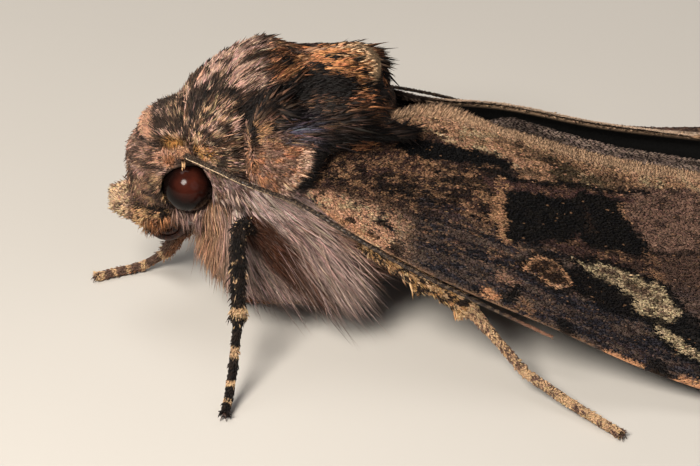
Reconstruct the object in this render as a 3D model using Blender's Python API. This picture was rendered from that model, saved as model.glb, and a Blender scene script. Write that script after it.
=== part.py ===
"""A life-size owlet moth at rest: head, collar, thorax, folded wings, feelers and six legs.

Lengths below are millimetres in the moth's own frame: x to its left, y from the eyes back to
the tail, z up from the floor. place() turns them into metres about the middle of the model.
"""
import math

import bmesh
import bpy
from mathutils import Matrix, Vector

MM = 0.001
MIDDLE_Y = 9.18  # half way from the foremost foot to the wing tips
GAP = 0.15  # clearance between pieces that touch

EYE_CENTRE = (1.2, 0.0, 5.5)
EYE_RADIUS = 0.85
WING_THICKNESS = 0.5
TEGULA_THICKNESS = 0.6
FEELER_RADIUS = 0.25
PROBOSCIS_RADIUS = 0.17
SPLIT_HEIGHT = 5.4  # upper thorax and collar above, breast below
COLLAR_BACK = 1.75  # where the collar meets the thorax at the split height
COLLAR_LEAN = 0.12  # the joint leans forward as it rises
ABDOMEN_SPLIT = 13.0

# Stations along y: (y, top, bottom, height of the widest place, half width)
HEAD = [
    (-1.98, 6.25, 5.35, 5.80, 0.25),
    (-1.80, 6.70, 4.95, 5.80, 0.85),
    (-1.45, 7.20, 4.60, 5.75, 1.15),
    (-1.20, 7.65, 4.40, 5.70, 1.28),
    (-0.70, 7.98, 4.20, 5.65, 1.42),
    (-0.10, 8.20, 4.10, 5.60, 1.50),
    (0.50, 8.10, 4.30, 5.60, 1.40),
    (0.90, 7.20, 5.00, 5.70, 0.70),
]
TRUNK = [
    (-0.25, 8.20, 6.90, 7.55, 0.70),
    (0.15, 8.90, 6.35, 7.35, 1.60),
    (0.60, 9.30, 5.90, 7.05, 2.15),
    (1.20, 9.85, 4.80, 6.75, 2.65),
    (2.10, 10.40, 3.80, 6.50, 2.90),
    (2.90, 10.40, 3.60, 6.40, 2.95),
    (3.90, 10.05, 3.50, 6.30, 2.95),
    (4.90, 10.20, 3.50, 6.20, 2.85),
    (5.80, 10.10, 3.60, 6.10, 2.60),
    (6.50, 9.65, 3.90, 6.00, 2.25),
    (7.10, 8.80, 4.30, 5.90, 1.80),
    (7.40, 7.40, 4.80, 5.80, 1.10),
]
BREAST = [
    (0.10, 4.10, 2.70, 3.40, 0.90),
    (0.50, 4.80, 2.05, 3.40, 1.90),
    (1.10, 5.90, 1.45, 3.50, 2.60),
    (2.20, 7.60, 1.10, 3.70, 3.05),
    (3.60, 8.00, 1.00, 3.90, 3.25),
    (5.00, 7.90, 1.05, 3.90, 3.25),
    (6.00, 7.60, 1.35, 4.10, 2.95),
    (6.90, 7.00, 2.10, 4.40, 2.40),
    (7.40, 6.20, 3.20, 4.60, 1.50),
]
ABDOMEN = [
    (7.30, 5.60, 2.60, 4.00, 1.50),
    (8.00, 6.00, 1.80, 3.90, 2.15),
    (9.50, 5.95, 1.50, 3.70, 2.25),
    (12.00, 5.20, 1.20, 3.20, 2.05),
    (14.50, 4.40, 1.00, 2.70, 1.70),
    (16.80, 3.60, 0.90, 2.25, 1.20),
    (18.30, 2.90, 0.95, 1.95, 0.65),
    (18.80, 2.40, 1.40, 1.90, 0.25),
]
PALP = [
    (-0.50, 4.40, 3.85, 4.10, 0.22),
    (-1.00, 4.80, 3.60, 4.15, 0.33),
    (-1.60, 4.98, 3.50, 4.20, 0.35),
    (-2.10, 4.90, 3.90, 4.40, 0.30),
    (-2.52, 4.72, 4.25, 4.48, 0.20),
]
PALP_SPREAD = (0.62, 0.28)  # distance of each palp's middle line from the moth's, base and tip

# Squareness of the cross-sections: 2 is an ellipse, less is peaked; upper half, lower half
HEAD_SHAPE = (2.0, 2.2)
TRUNK_SHAPE = (1.5, 2.0)
BREAST_SHAPE = (2.0, 3.4)

# Edges of the forewing from its root: (x, y, z)
COSTA = [
    (3.20, 3.40, 6.70),
    (4.20, 5.17, 5.45),
    (5.45, 8.30, 4.10),
    (6.50, 11.80, 2.76),
    (7.50, 15.60, 1.00),
    (8.60, 20.90, 0.72),
]
INNER_EDGE = [
    (3.00, 3.60, 7.00),
    (1.80, 5.60, 7.75),
    (0.50, 8.10, 7.70),
    (0.95, 10.80, 7.05),
    (1.20, 14.20, 6.00),
    (1.30, 18.20, 5.20),
]
OUTER_EDGE_SWELL = 1.1
CORNER_ROUNDING = (0.9, 0.6)  # at the wing tip and at the inner corner
WING_CROWN = 0.20
HINDWING_SPAN = (0.14, 0.86)
HINDWING_CHORD = (0.25, 0.90)

# Tegula: (y front, y where the lobe ends, y of the last hair), angles up the flank in degrees
TEGULA_REACH = (1.85, 4.20, 7.05)
TEGULA_LOW = (-1.0, 30.0)
TEGULA_HIGH = (48.0, 46.0)

COIL_CENTRE = (0.0, -0.62, 3.28)
COIL_RADII = (0.16, 0.68)
COIL_TURNS = 1.6

# Feeler of the left side, from the brow back along the wing's front edge: (x, y, z)
FEELER = [
    (1.38, -0.15, 6.55),
    (2.05, 0.12, 6.85),
    (2.95, 0.85, 7.00),
    (3.66, 1.80, 7.12),
    (4.00, 3.57, 6.36),
    (4.80, 5.15, 5.65),
    (5.55, 6.75, 4.92),
    (6.30, 9.00, 3.95),
    (6.85, 11.65, 2.68),
]

# Legs: hip, knee, ankle and toe joints (x, y, z), then radii of thigh, shin and foot
LEGS = {
    "mid_left": [(1.5, 2.9, 3.2), (3.35, 1.55, 5.35), (4.9, 1.45, 2.7), (5.85, 1.22, 1.35),
                 (6.45, 1.03, 0.50), (7.05, 0.83, 0.19)],
    "mid_right": [(-1.5, 2.9, 3.2), (-3.35, 1.9, 5.05), (-4.3, 2.2, 2.3), (-4.75, 2.4, 1.05),
                  (-5.05, 2.55, 0.42), (-5.75, 2.75, 0.19)],
    "fore_left": [(0.75, 1.5, 2.5), (0.55, 1.45, 0.80), (0.45, 3.0, 0.42), (0.45, 3.7, 0.28),
                  (0.5, 4.5, 0.19), (0.6, 5.3, 0.19)],
    "fore_right": [(-0.9, 1.0, 2.7), (-1.35, -0.15, 2.0), (-2.15, -0.75, 0.62), (-2.05, -1.45, 0.26),
                   (-1.85, -2.3, 0.19), (-1.55, -3.15, 0.19)],
    "hind_left": [(1.2, 5.5, 2.8), (3.35, 5.85, 4.25), (5.0, 9.1, 2.75), (6.4, 10.85, 1.0),
                  (7.5, 12.3, 0.42), (9.1, 13.85, 0.19)],
}
LEGS["hind_right"] = [(-x, y, z) for x, y, z in LEGS["hind_left"]]
LIMB_RADII = {"fore": (0.30, 0.29, 0.25), "mid": (0.32, 0.30, 0.25), "hind": (0.34, 0.37, 0.26)}
KNEE_ROUNDING = 0.24
SPURS = {"fore": (), "mid": (0.95,), "hind": (0.40, 0.85)}  # places along the shin
SPUR_LENGTH = {"mid": 0.35, "hind": 0.6}
SPUR_RADIUS = 0.13

COLOURS = {
    "brown_coat": (0.16, 0.10, 0.075),
    "grey_hair": (0.30, 0.23, 0.21),
    "wing_scales": (0.09, 0.065, 0.055),
    "hindwing_scales": (0.26, 0.21, 0.18),
    "abdomen_hair": (0.24, 0.19, 0.16),
    "leg_scales": (0.12, 0.09, 0.07),
    "hind_leg_scales": (0.34, 0.22, 0.10),
    "feeler_horn": (0.20, 0.12, 0.09),
    "eye_lens": (0.015, 0.004, 0.004),
    "tongue_horn": (0.09, 0.025, 0.012),
}
ROUGHNESS = {"eye_lens": 0.12, "tongue_horn": 0.35, "feeler_horn": 0.6}


def place(x, y, z):
    return Vector((x, y - MIDDLE_Y, z)) * MM


def clear_scene():
    for obj in list(bpy.data.objects):
        bpy.data.objects.remove(obj, do_unlink=True)


def material(name):
    found = bpy.data.materials.get(name)
    if found:
        return found
    made = bpy.data.materials.new(name)
    made.use_nodes = True
    shader = made.node_tree.nodes["Principled BSDF"]
    shader.inputs["Base Color"].default_value = (*COLOURS[name], 1.0)
    shader.inputs["Roughness"].default_value = ROUGHNESS.get(name, 0.8)
    return made


def along(keys, f):
    """The point at share f of a smooth curve through the keys."""
    last = len(keys) - 1
    at = min(max(f, 0.0), 1.0) * last
    i = min(int(at), last - 1)
    t = at - i
    p1, p2 = keys[i], keys[i + 1]
    p0 = keys[i - 1] if i else [2 * a - b for a, b in zip(p1, p2)]
    p3 = keys[i + 2] if i + 2 <= last else [2 * b - a for a, b in zip(p1, p2)]
    return [
        b + 0.5 * t * (c - a + t * (2 * a - 5 * b + 4 * c - d + t * (3 * (b - c) + d - a)))
        for a, b, c, d in zip(p0, p1, p2, p3)
    ]


def station_at(stations, y):
    """The station interpolated at y, found by halving the interval."""
    low, high = 0.0, 1.0
    rising = stations[-1][0] > stations[0][0]
    for _ in range(30):
        half = (low + high) / 2
        if (along(stations, half)[0] < y) == rising:
            low = half
        else:
            high = half
    return along(stations, low)


def power(value, exponent):
    return math.copysign(abs(value) ** exponent, value)


def section(station, angle, squareness, grow=0.0):
    """A point of the egg-shaped cross-section, and its height."""
    _, top, bottom, mid, width = station
    up, down = squareness
    rise = math.sin(angle)
    exponent = 2 / (up if rise > 0 else down)
    x = (width + grow) * power(math.cos(angle), exponent)
    reach = top - mid + grow if rise > 0 else mid - bottom + grow
    return x, mid + reach * power(rise, exponent)


def new_object(name, mesh_builder, colour, parent=None):
    mesh = bpy.data.meshes.new(name)
    mesh_builder.normal_update()
    bmesh.ops.recalc_face_normals(mesh_builder, faces=mesh_builder.faces)
    mesh_builder.to_mesh(mesh)
    mesh_builder.free()
    mesh.shade_smooth()
    mesh.set_sharp_from_angle(angle=math.radians(40))
    obj = bpy.data.objects.new(name, mesh)
    bpy.context.collection.objects.link(obj)
    obj.parent = parent
    if colour:
        mesh.materials.append(material(colour))
    return obj


def skin_rings(builder, rings):
    """Joins rings of points into a closed tube with a fan at each end."""
    loops = [[builder.verts.new(point) for point in ring] for ring in rings]
    count = len(loops[0])
    for near, far in zip(loops, loops[1:]):
        for i in range(count):
            j = (i + 1) % count
            builder.faces.new((near[i], near[j], far[j], far[i]))
    for loop in (loops[0], loops[-1]):
        middle = builder.verts.new(sum((v.co for v in loop), Vector()) / count)
        for i in range(count):
            builder.faces.new((loop[i], loop[(i + 1) % count], middle))


def loft(name, stations, colour, rings=20, sides=28, squareness=(2.0, 2.0), grow=0.0, shift=None):
    builder = bmesh.new()
    loops = []
    for i in range(rings + 1):
        station = along(stations, i / rings)
        lead = grow * math.copysign(1, stations[-1][0] - stations[0][0])
        y = station[0] + lead * (2 * i / rings - 1)
        offset = shift(i / rings) if shift else 0.0
        loop = []
        for k in range(sides):
            x, z = section(station, 2 * math.pi * k / sides, squareness, grow)
            loop.append(place(x + offset, y, z))
        loops.append(loop)
    skin_rings(builder, loops)
    return new_object(name, builder, colour)


def keep_side(obj, point, normal):
    """Cuts the mesh by a plane and closes it, keeping the side that the normal points away from."""
    builder = bmesh.new()
    builder.from_mesh(obj.data)
    everything = builder.verts[:] + builder.edges[:] + builder.faces[:]
    bmesh.ops.bisect_plane(
        builder, geom=everything, plane_co=point, plane_no=normal, clear_outer=True, dist=1e-8
    )
    rim = [edge for edge in builder.edges if edge.is_boundary]
    if rim:
        bmesh.ops.contextual_create(builder, geom=rim)
    bmesh.ops.recalc_face_normals(builder, faces=builder.faces)
    builder.to_mesh(obj.data)
    builder.free()


def make_cutter(obj):
    obj.hide_render = True
    obj.display_type = "WIRE"
    return obj


def cut(obj, *cutters):
    for cutter in cutters:
        boolean = obj.modifiers.new(f"clear_{cutter.name}", "BOOLEAN")
        boolean.operation = "DIFFERENCE"
        boolean.solver = "EXACT"
        boolean.object = cutter


def eye(side, grow=0.0):
    name = f"eye_{side}" if not grow else f"cutter_eye_{side}"
    sign = 1 if side == "left" else -1
    x, y, z = EYE_CENTRE
    builder = bmesh.new()
    bmesh.ops.create_uvsphere(builder, u_segments=16, v_segments=8, radius=(EYE_RADIUS + grow) * MM)
    bmesh.ops.rotate(builder, verts=builder.verts, matrix=Matrix.Rotation(math.pi / 2, 3, "Y"))
    obj = new_object(name, builder, "eye_lens")
    obj.location = place(sign * x, y, z)
    return obj


def palp(side, grow=0.0):
    name = f"palp_{side}" if not grow else f"cutter_palp_{side}"
    sign = 1 if side == "left" else -1
    base, tip = PALP_SPREAD

    def shift(f):
        return sign * (base + (tip - base) * f * f)

    return loft(name, PALP, "brown_coat", rings=7, sides=10, grow=grow, shift=shift)


def proboscis():
    x, y, z = COIL_CENTRE
    inner, outer = COIL_RADII
    steps = 24
    points = []
    for i in range(steps + 1):
        f = i / steps
        turn = 2 * math.pi * COIL_TURNS * f + math.pi / 2
        reach = outer - (outer - inner) * f
        points.append((x, y + reach * math.cos(turn), z + reach * math.sin(turn)))
    return tube("proboscis", points, [PROBOSCIS_RADIUS] * len(points), "tongue_horn", sides=6)


def mitre_rings(points, radii, sides):
    """Rings round a bent line, each in the plane that halves the bend at its point."""
    points = [Vector(p) for p in points]
    ways = [(b - a).normalized() for a, b in zip(points, points[1:])]
    across = ways[0].cross(Vector((0, 0, 1)) if abs(ways[0].z) < 0.9 else Vector((0, 1, 0))).normalized()
    rings = []
    for i, point in enumerate(points):
        way_in = ways[max(i - 1, 0)]
        way_out = ways[min(i, len(ways) - 1)]
        plane = (way_in + way_out).normalized()
        across = (across - way_in * across.dot(way_in)).normalized()
        upward = way_in.cross(across)
        ring = []
        for k in range(sides):
            angle = 2 * math.pi * (k + 0.5) / sides
            spoke = (across * math.cos(angle) + upward * math.sin(angle)) * radii[i]
            ring.append(point + spoke - way_in * (spoke.dot(plane) / way_in.dot(plane)))
        rings.append(ring)
        across = (across - way_out * across.dot(way_out)).normalized()
    return rings


def tube(name, points, radii, colour, sides=8, start_gap=0.0, end_gap=0.0, rings=None):
    rings = rings or mitre_rings(points, radii, sides)
    rings = [list(ring) for ring in rings]
    if start_gap:
        step = (Vector(points[1]) - Vector(points[0])).normalized() * start_gap
        rings[0] = [p + step for p in rings[0]]
    if end_gap:
        step = (Vector(points[-1]) - Vector(points[-2])).normalized() * end_gap
        rings[-1] = [p - step for p in rings[-1]]
    builder = bmesh.new()
    skin_rings(builder, [[place(*p) for p in ring] for ring in rings])
    return new_object(name, builder, colour)


def feeler(side):
    sign = 1 if side == "left" else -1
    count = 18
    points = [along(FEELER, i / count) for i in range(count + 1)]
    points = [(sign * x, y, z) for x, y, z in points]
    radii = [FEELER_RADIUS] * (count + 1)
    return tube(f"antenna_{side}", points, radii, "feeler_horn", sides=8)


def sheet(name, colour, top, bottom):
    """Closes two grids of points, one over the other, into a thin solid."""
    builder = bmesh.new()
    upper = [[builder.verts.new(p) for p in row] for row in top]
    lower = [[builder.verts.new(p) for p in row] for row in bottom]
    rows, columns = len(upper), len(upper[0])
    for i in range(rows - 1):
        for j in range(columns - 1):
            for grid in (upper, lower):
                builder.faces.new((grid[i][j], grid[i + 1][j], grid[i + 1][j + 1], grid[i][j + 1]))
    edge = [(i, 0) for i in range(rows)]
    edge += [(rows - 1, j) for j in range(1, columns)]
    edge += [(i, columns - 1) for i in range(rows - 2, -1, -1)]
    edge += [(0, j) for j in range(columns - 2, 0, -1)]
    for (a, b), (c, d) in zip(edge, edge[1:] + edge[:1]):
        builder.faces.new((upper[a][b], upper[c][d], lower[c][d], lower[a][b]))
    return new_object(name, builder, colour)


def wing_point(s, t):
    """The wing's upper face: s from root to outer edge, t from the front edge to the inner one."""
    front = Vector(along(COSTA, s))
    back = Vector(along(INNER_EDGE, s))
    point = front.lerp(back, t)
    swell = math.sin(math.pi * t)
    tip, corner = CORNER_ROUNDING
    point.y += OUTER_EDGE_SWELL * swell * s ** 6
    point.y -= (tip * (1 - t) ** 5 + corner * t ** 5) * s ** 8
    point += Vector((0.55, 0.0, 0.83)) * WING_CROWN * swell * (1 - t) * 2 * s
    return point


def wing_normal(s, t):
    step = 0.01
    way_s = wing_point(min(s + step, 1), t) - wing_point(max(s - step, 0), t)
    way_t = wing_point(s, min(t + step, 1)) - wing_point(s, max(t - step, 0))
    return way_s.cross(way_t).normalized() * (1 if way_s.cross(way_t).z > 0 else -1)


def wing(name, sign, colour, span, chord, depth, rows, columns):
    top, bottom = [], []
    for i in range(rows + 1):
        s = span[0] + (span[1] - span[0]) * i / rows
        upper, lower = [], []
        for j in range(columns + 1):
            t = chord[0] + (chord[1] - chord[0]) * j / columns
            point = wing_point(s, t)
            normal = wing_normal(s, t)
            high = point - normal * depth
            low = point - normal * (depth + WING_THICKNESS)
            upper.append(place(sign * high.x, high.y, high.z))
            lower.append(place(sign * low.x, low.y, low.z))
        top.append(upper)
        bottom.append(lower)
    return sheet(name, colour, top, bottom)


def tegula(side, grow=0.0):
    """The flap over the wing's root: a shell a little proud of the thorax's flank."""
    name = f"tegula_{side}" if not grow else f"cutter_tegula_{side}"
    sign = 1 if side == "left" else -1
    front, lobe_end, hair_end = TEGULA_REACH
    rows, columns = 10, 4
    top, bottom = [], []
    for i in range(rows + 1):
        f = i / rows
        y = front + (hair_end - front) * f
        station = station_at(TRUNK, y)
        ease = min(max((y - lobe_end + 0.8) / 1.4, 0.0), 1.0)
        ease = ease * ease * (3 - 2 * ease)
        closing = math.sqrt(max(1 - (2 * f - 1) ** 6, 0.0))
        low = TEGULA_LOW[0] + (TEGULA_LOW[1] - TEGULA_LOW[0]) * ease
        high = TEGULA_HIGH[0] + (TEGULA_HIGH[1] - TEGULA_HIGH[0]) * f
        middle = (low + high) / 2
        half = (high - low) / 2 * (0.45 + 0.55 * closing)
        upper, lower = [], []
        for j in range(columns + 1):
            v = 2 * j / columns - 1
            angle = math.radians(middle + half * v * (1 + grow * 0.2))
            thick = TEGULA_THICKNESS * (1 - 0.35 * v * v) * (0.6 + 0.4 * closing)
            x, z = section(station, angle, TRUNK_SHAPE, GAP + thick + grow)
            upper.append(place(sign * x, y, z))
            x, z = section(station, angle, TRUNK_SHAPE, GAP - grow)
            lower.append(place(sign * x, y, z))
        top.append(upper)
        bottom.append(lower)
    if grow:
        for grid in (top, bottom):
            for row, way in ((grid[0], -grow), (grid[-1], grow)):
                for point in row:
                    point.y += way * MM
    return sheet(name, "brown_coat", top, bottom)


def limb_points(leg):
    """Rounds the knee off by putting two points in its place."""
    hip, knee, *rest = [Vector(p) for p in LEGS[leg]]
    near = knee + (hip - knee).normalized() * KNEE_ROUNDING
    far = knee + (rest[0] - knee).normalized() * KNEE_ROUNDING
    return [hip, near, far, *rest]


def limb(leg):
    """Thigh, shin and foot of one leg, parted at the knee and the ankle."""
    pair = leg.split("_")[0]
    thigh, shin, foot = LIMB_RADII[pair]
    hip, near, far, ankle, *toes = limb_points(leg)
    points = [hip, hip.lerp(near, 0.4), near, far, far.lerp(ankle, 0.5), ankle]
    radii = [thigh * 0.8, thigh, thigh * 0.85, shin * 0.9, shin, shin * 0.9]
    points += [ankle.lerp(toes[0], 0.5), toes[0], toes[0].lerp(toes[1], 0.5), toes[1]]
    radii += [foot, foot * 1.02, foot, foot * 1.02]
    points += [toes[1].lerp(toes[2], 0.5), toes[2]]
    radii += [foot, foot]
    rings = mitre_rings(points, radii, 8)
    colour = "hind_leg_scales" if pair == "hind" else "leg_scales"
    half = GAP / 2
    tube(f"leg_{leg}_thigh", points[:3], None, colour, rings=rings[:3], end_gap=half)
    shin_piece = tube(
        f"leg_{leg}_shin", points[2:6], None, colour, rings=rings[2:6], start_gap=half, end_gap=half
    )
    for n, share in enumerate(SPURS[pair]):
        add_spurs(shin_piece, points[3], points[5], share, n, foot + SPUR_LENGTH[pair])
    foot_piece = tube(f"leg_{leg}_foot", points[5:], None, colour, rings=rings[5:], start_gap=half)
    keep_side(foot_piece, place(0, 0, 0), (0, 0, -1))


def add_spurs(shin_piece, start, end, share, number, length):
    """A pair of spikes on the shin, joined to it."""
    way = (end - start).normalized()
    across = way.cross(Vector((0, 0, 1))).normalized()
    root = start.lerp(end, share) - way * (0.12 if share > 0.9 else 0.0)
    below = across.cross(way).normalized()
    below = below if below.z < 0 else -below
    for sign in (-1, 1):
        lean = (way * 0.62 + below * 0.45 + across * sign * 0.64).normalized()
        points = [root + lean * 0.11, root + lean * length * 0.6, root + lean * length]
        radii = [SPUR_RADIUS, SPUR_RADIUS, SPUR_RADIUS * 0.4]
        name = f"join_{shin_piece.name}_{number}_{'ab'[sign > 0]}"
        spur = make_cutter(tube(name, points, radii, None, sides=6))
        union = shin_piece.modifiers.new(name, "BOOLEAN")
        union.operation = "UNION"
        union.solver = "EXACT"
        union.object = spur


def grown_thigh(leg):
    hip, near, far, ankle = limb_points(leg)[:4]
    thigh = LIMB_RADII[leg.split("_")[0]][0]
    way = (near - hip).normalized()
    points = [hip - way * GAP, hip.lerp(near, 0.4), near, far, far.lerp(ankle, 0.5)]
    radii = [thigh * 0.8 + GAP, thigh + GAP, thigh * 0.85 + GAP, thigh * 0.9 + GAP, thigh + GAP]
    return make_cutter(tube(f"cutter_{leg}", points, radii, None, sides=8))


def main():
    clear_scene()
    sides = ("left", "right")
    for side in sides:
        eye(side)
        palp(side)
    proboscis()
    eye_cutters = [make_cutter(eye(side, GAP)) for side in sides]
    palp_cutters = [make_cutter(palp(side, GAP)) for side in sides]

    head = loft("head", HEAD, "brown_coat", rings=13, sides=18, squareness=HEAD_SHAPE)
    cut(head, *eye_cutters, *palp_cutters)
    head_cutter = make_cutter(
        loft("cutter_head", HEAD, None, rings=13, sides=18, squareness=HEAD_SHAPE, grow=GAP)
    )
    for side in sides:
        cut(feeler(side), head_cutter)

    lean = Vector((0, 1, COLLAR_LEAN)).normalized()
    joint = place(0, COLLAR_BACK, SPLIT_HEIGHT)
    half = GAP / 2 * MM
    above = Vector((0, 0, 1))
    split = place(0, 0, SPLIT_HEIGHT)
    for name, way in (("collar", 1), ("thorax", -1)):
        piece = loft(name, TRUNK, "brown_coat", rings=20, sides=24, squareness=TRUNK_SHAPE)
        keep_side(piece, joint - lean * half * way, lean * way)
        keep_side(piece, split + above * half, -above)
        if name == "collar":
            cut(piece, head_cutter, *eye_cutters)
    breast = loft("breast", BREAST, "grey_hair", rings=13, sides=20, squareness=BREAST_SHAPE)
    keep_side(breast, split - above * half, above)
    cut(breast, head_cutter, *eye_cutters, *[grown_thigh(leg) for leg in LEGS])

    trunk_cutter = make_cutter(
        loft("cutter_trunk", TRUNK, None, rings=20, sides=24, squareness=TRUNK_SHAPE, grow=GAP)
    )
    breast_cutter = make_cutter(
        loft("cutter_breast", BREAST, None, rings=13, sides=20, squareness=BREAST_SHAPE, grow=GAP)
    )
    for side, sign in zip(sides, (1, -1)):
        tegula(side)
        tegula_cutter = make_cutter(tegula(side, GAP))
        fore = wing(f"forewing_{side}", sign, "wing_scales", (0.05, 1.0), (0.0, 1.0), 0.0, 14, 7)
        cut(fore, trunk_cutter, tegula_cutter)
        hind = wing(f"hindwing_{side}", sign, "hindwing_scales", HINDWING_SPAN, HINDWING_CHORD,
                    WING_THICKNESS + GAP, 9, 5)
        cut(hind, trunk_cutter, breast_cutter)
    for name, way in (("abdomen_front", 1), ("abdomen_rear", -1)):
        piece = loft(name, ABDOMEN, "abdomen_hair", rings=14, sides=18)
        back = Vector((0, 1, 0))
        keep_side(piece, place(0, ABDOMEN_SPLIT, 0) - back * half * way, back * way)
        if way > 0:
            cut(piece, trunk_cutter, breast_cutter)
    for leg in LEGS:
        limb(leg)


main()
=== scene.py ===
import math

import bpy
import numpy as np
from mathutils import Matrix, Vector
from mathutils.bvhtree import BVHTree


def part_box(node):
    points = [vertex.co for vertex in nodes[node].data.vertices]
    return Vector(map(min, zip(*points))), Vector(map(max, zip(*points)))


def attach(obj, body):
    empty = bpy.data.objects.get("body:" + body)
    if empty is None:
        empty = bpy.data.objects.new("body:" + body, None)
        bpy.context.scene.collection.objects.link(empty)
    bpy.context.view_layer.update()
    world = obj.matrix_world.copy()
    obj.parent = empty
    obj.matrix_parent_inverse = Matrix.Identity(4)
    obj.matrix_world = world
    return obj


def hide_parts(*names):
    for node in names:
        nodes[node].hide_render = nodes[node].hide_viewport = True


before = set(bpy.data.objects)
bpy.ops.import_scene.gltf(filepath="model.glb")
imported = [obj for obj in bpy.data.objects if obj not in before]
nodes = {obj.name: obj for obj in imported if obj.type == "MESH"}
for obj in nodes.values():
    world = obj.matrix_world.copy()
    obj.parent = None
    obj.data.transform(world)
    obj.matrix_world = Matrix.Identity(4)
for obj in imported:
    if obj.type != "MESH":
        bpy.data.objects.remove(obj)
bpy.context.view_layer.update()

# An owlet moth at rest. Lengths here are millimetres: x to the moth's left,
# y from the eyes back to the tail, z up from the floor.
mm = 0.001
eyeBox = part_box("eye_left")
eyeCentre = (eyeBox[0] + eyeBox[1]) / 2
origin = np.array([0.0, eyeCentre.y, 0.0])
eyeMiddle = np.array([eyeCentre.x, 0.0, eyeCentre.z]) / mm
eyeRadius = (eyeBox[1].x - eyeBox[0].x) / 2 / mm
sides = {"left": 1, "right": -1}
print("frame loaded,", len(nodes), "nodes")


def toScene(points):
    return np.asarray(points, float) * mm + origin


def toMoth(points):
    return (np.asarray(points, float) - origin) / mm


stacked = np.column_stack


def unit(v):
    return v / np.maximum(np.linalg.norm(v, axis=-1, keepdims=True), 1e-9)


def dot(a, b):
    return (a * b).sum(-1, keepdims=True)


def leftSide(p):
    return np.abs(p) * (1, 0, 0) + p * (0, 1, 1)


def ease(x, low, high):
    f = np.clip((np.asarray(x, float) - low) / (high - low), 0, 1)
    return f * f * (3 - 2 * f)


def along(keys, f):
    # a smooth curve through the keys, at shares f from 0 to 1
    keys = np.asarray(keys, float)
    last = len(keys) - 1
    at = np.clip(np.asarray(f, float), 0, 1) * last
    i = np.minimum(at.astype(int), last - 1)
    t = (at - i)[..., None]
    padded = np.vstack([2 * keys[0] - keys[1], keys, 2 * keys[-1] - keys[-2]])
    p0, p1, p2, p3 = (padded[i + k] for k in range(4))
    bend = 2 * p0 - 5 * p1 + 4 * p2 - p3 + t * (3 * (p1 - p2) + p3 - p0)
    return p1 + 0.5 * t * (p2 - p0 + t * bend)


def noise(points, size, seed=0):
    # smooth random values from 0 to 1 that change over the given size
    q = np.asarray(points, float) / np.asarray(size, float) + seed * 17.31 + 500
    cell = np.floor(q).astype(np.int64)
    part = q - cell
    part = part * part * (3 - 2 * part)
    keys = np.array([73856093, 19349663, 83492791])[:q.shape[-1]]
    total = np.zeros(q.shape[:-1])
    for corner in range(2 ** q.shape[-1]):
        step = np.array([corner >> k & 1 for k in range(q.shape[-1])])
        key = ((cell + step) * keys).sum(-1)
        value = ((key ^ key >> 13) * 1274126177 & 0xffffff) / 0xffffff
        total += value * np.prod(np.where(step == 1, part, 1 - part), axis=-1)
    return total


def paint(*rgb):
    c = np.array(rgb, float) / 255
    return np.where(c <= 0.04045, c / 12.92, ((c + 0.055) / 1.055) ** 2.4)


def over(tint, colour, share):
    # one colour or direction turning into another, by a share for each point
    share = np.clip(share, 0, 1)[:, None]
    return tint * (1 - share) + colour * share


def layers(paints, ground, count):
    # a ground colour, and the way to lay the other paints over it
    tint = np.repeat(paints[ground][None], count, 0)

    def lay(name, share, bright=1):
        tint[:] = over(tint, paints[name] * bright, share)

    return tint, lay


def lineReach(line, points):
    # distance from points to a bent line, in the line's own units
    best = np.full(len(points), 1e9)
    line = np.asarray(line, float)
    for a, b in zip(line, line[1:]):
        way = b - a
        f = np.clip(((points - a) @ way) / (way @ way), 0, 1)
        best = np.minimum(best, np.linalg.norm(points - a - f[:, None] * way, axis=1))
    return best


def patchReach(outline, points, smooth=True):
    # how far points lie inside an outline (negative outside it)
    loop = np.asarray(outline, float)
    if smooth:
        count = len(loop)
        wrapped = np.vstack([loop[-2:], loop, loop[:3]])
        f = (2 + np.arange(count * 6) / 6) / (len(wrapped) - 1)
        loop = along(wrapped, f)
    closed = np.vstack([loop, loop[:1]])
    inside = np.zeros(len(points), bool)
    for (ax, ay), (bx, by) in zip(closed, closed[1:]):
        crosses = (ay > points[:, 1]) != (by > points[:, 1])
        reach = (bx - ax) * (points[:, 1] - ay) / (by - ay if by != ay else 1e-9) + ax
        inside ^= crosses & (points[:, 0] < reach)
    return np.where(inside, 1, -1) * lineReach(closed, points)


def newMesh(name, verts, faces, smooth=True):
    mesh = bpy.data.meshes.new(name)
    verts, faces = np.asarray(verts, np.float32), np.asarray(faces, np.int32)
    mesh.vertices.add(len(verts))
    mesh.vertices.foreach_set("co", verts.ravel())
    mesh.loops.add(faces.size)
    mesh.loops.foreach_set("vertex_index", faces.ravel())
    mesh.polygons.add(len(faces))
    mesh.polygons.foreach_set("loop_start", np.arange(len(faces)) * faces.shape[1])
    mesh.update(calc_edges=True)
    if smooth:
        mesh.shade_smooth()
    return mesh


def pulled(items, key, width, kind=np.float32):
    # one value of every item of a mesh, as rows
    values = np.zeros(len(items) * width, kind)
    items.foreach_get(key, values)
    return values.reshape(-1, width)


def setTint(mesh, tint):
    colours = np.ones((len(tint), 4), np.float32)
    colours[:, :3] = np.clip(tint, 0, 1)
    mesh.color_attributes.new("tint", "FLOAT_COLOR", "POINT")
    mesh.color_attributes["tint"].data.foreach_set("color", colours.ravel())


def addPiece(mesh, finish, replaced=()):
    piece = bpy.data.objects.new(mesh.name, mesh)
    bpy.context.scene.collection.objects.link(piece)
    mesh.materials.append(materials[finish])
    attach(piece, "root")
    if replaced:
        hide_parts(*replaced)
    return piece


def newMaterial(name):
    material = bpy.data.materials.new(name)
    material.use_nodes = True
    tree = material.node_tree
    return material, tree, tree.nodes["Principled BSDF"]


def setInputs(tree, node, inputs):
    # each input takes a value or another node's output
    for name, value in inputs.items():
        if isinstance(value, bpy.types.NodeSocket):
            tree.links.new(value, node.inputs[name])
        else:
            node.inputs[name].default_value = value
    return node


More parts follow.
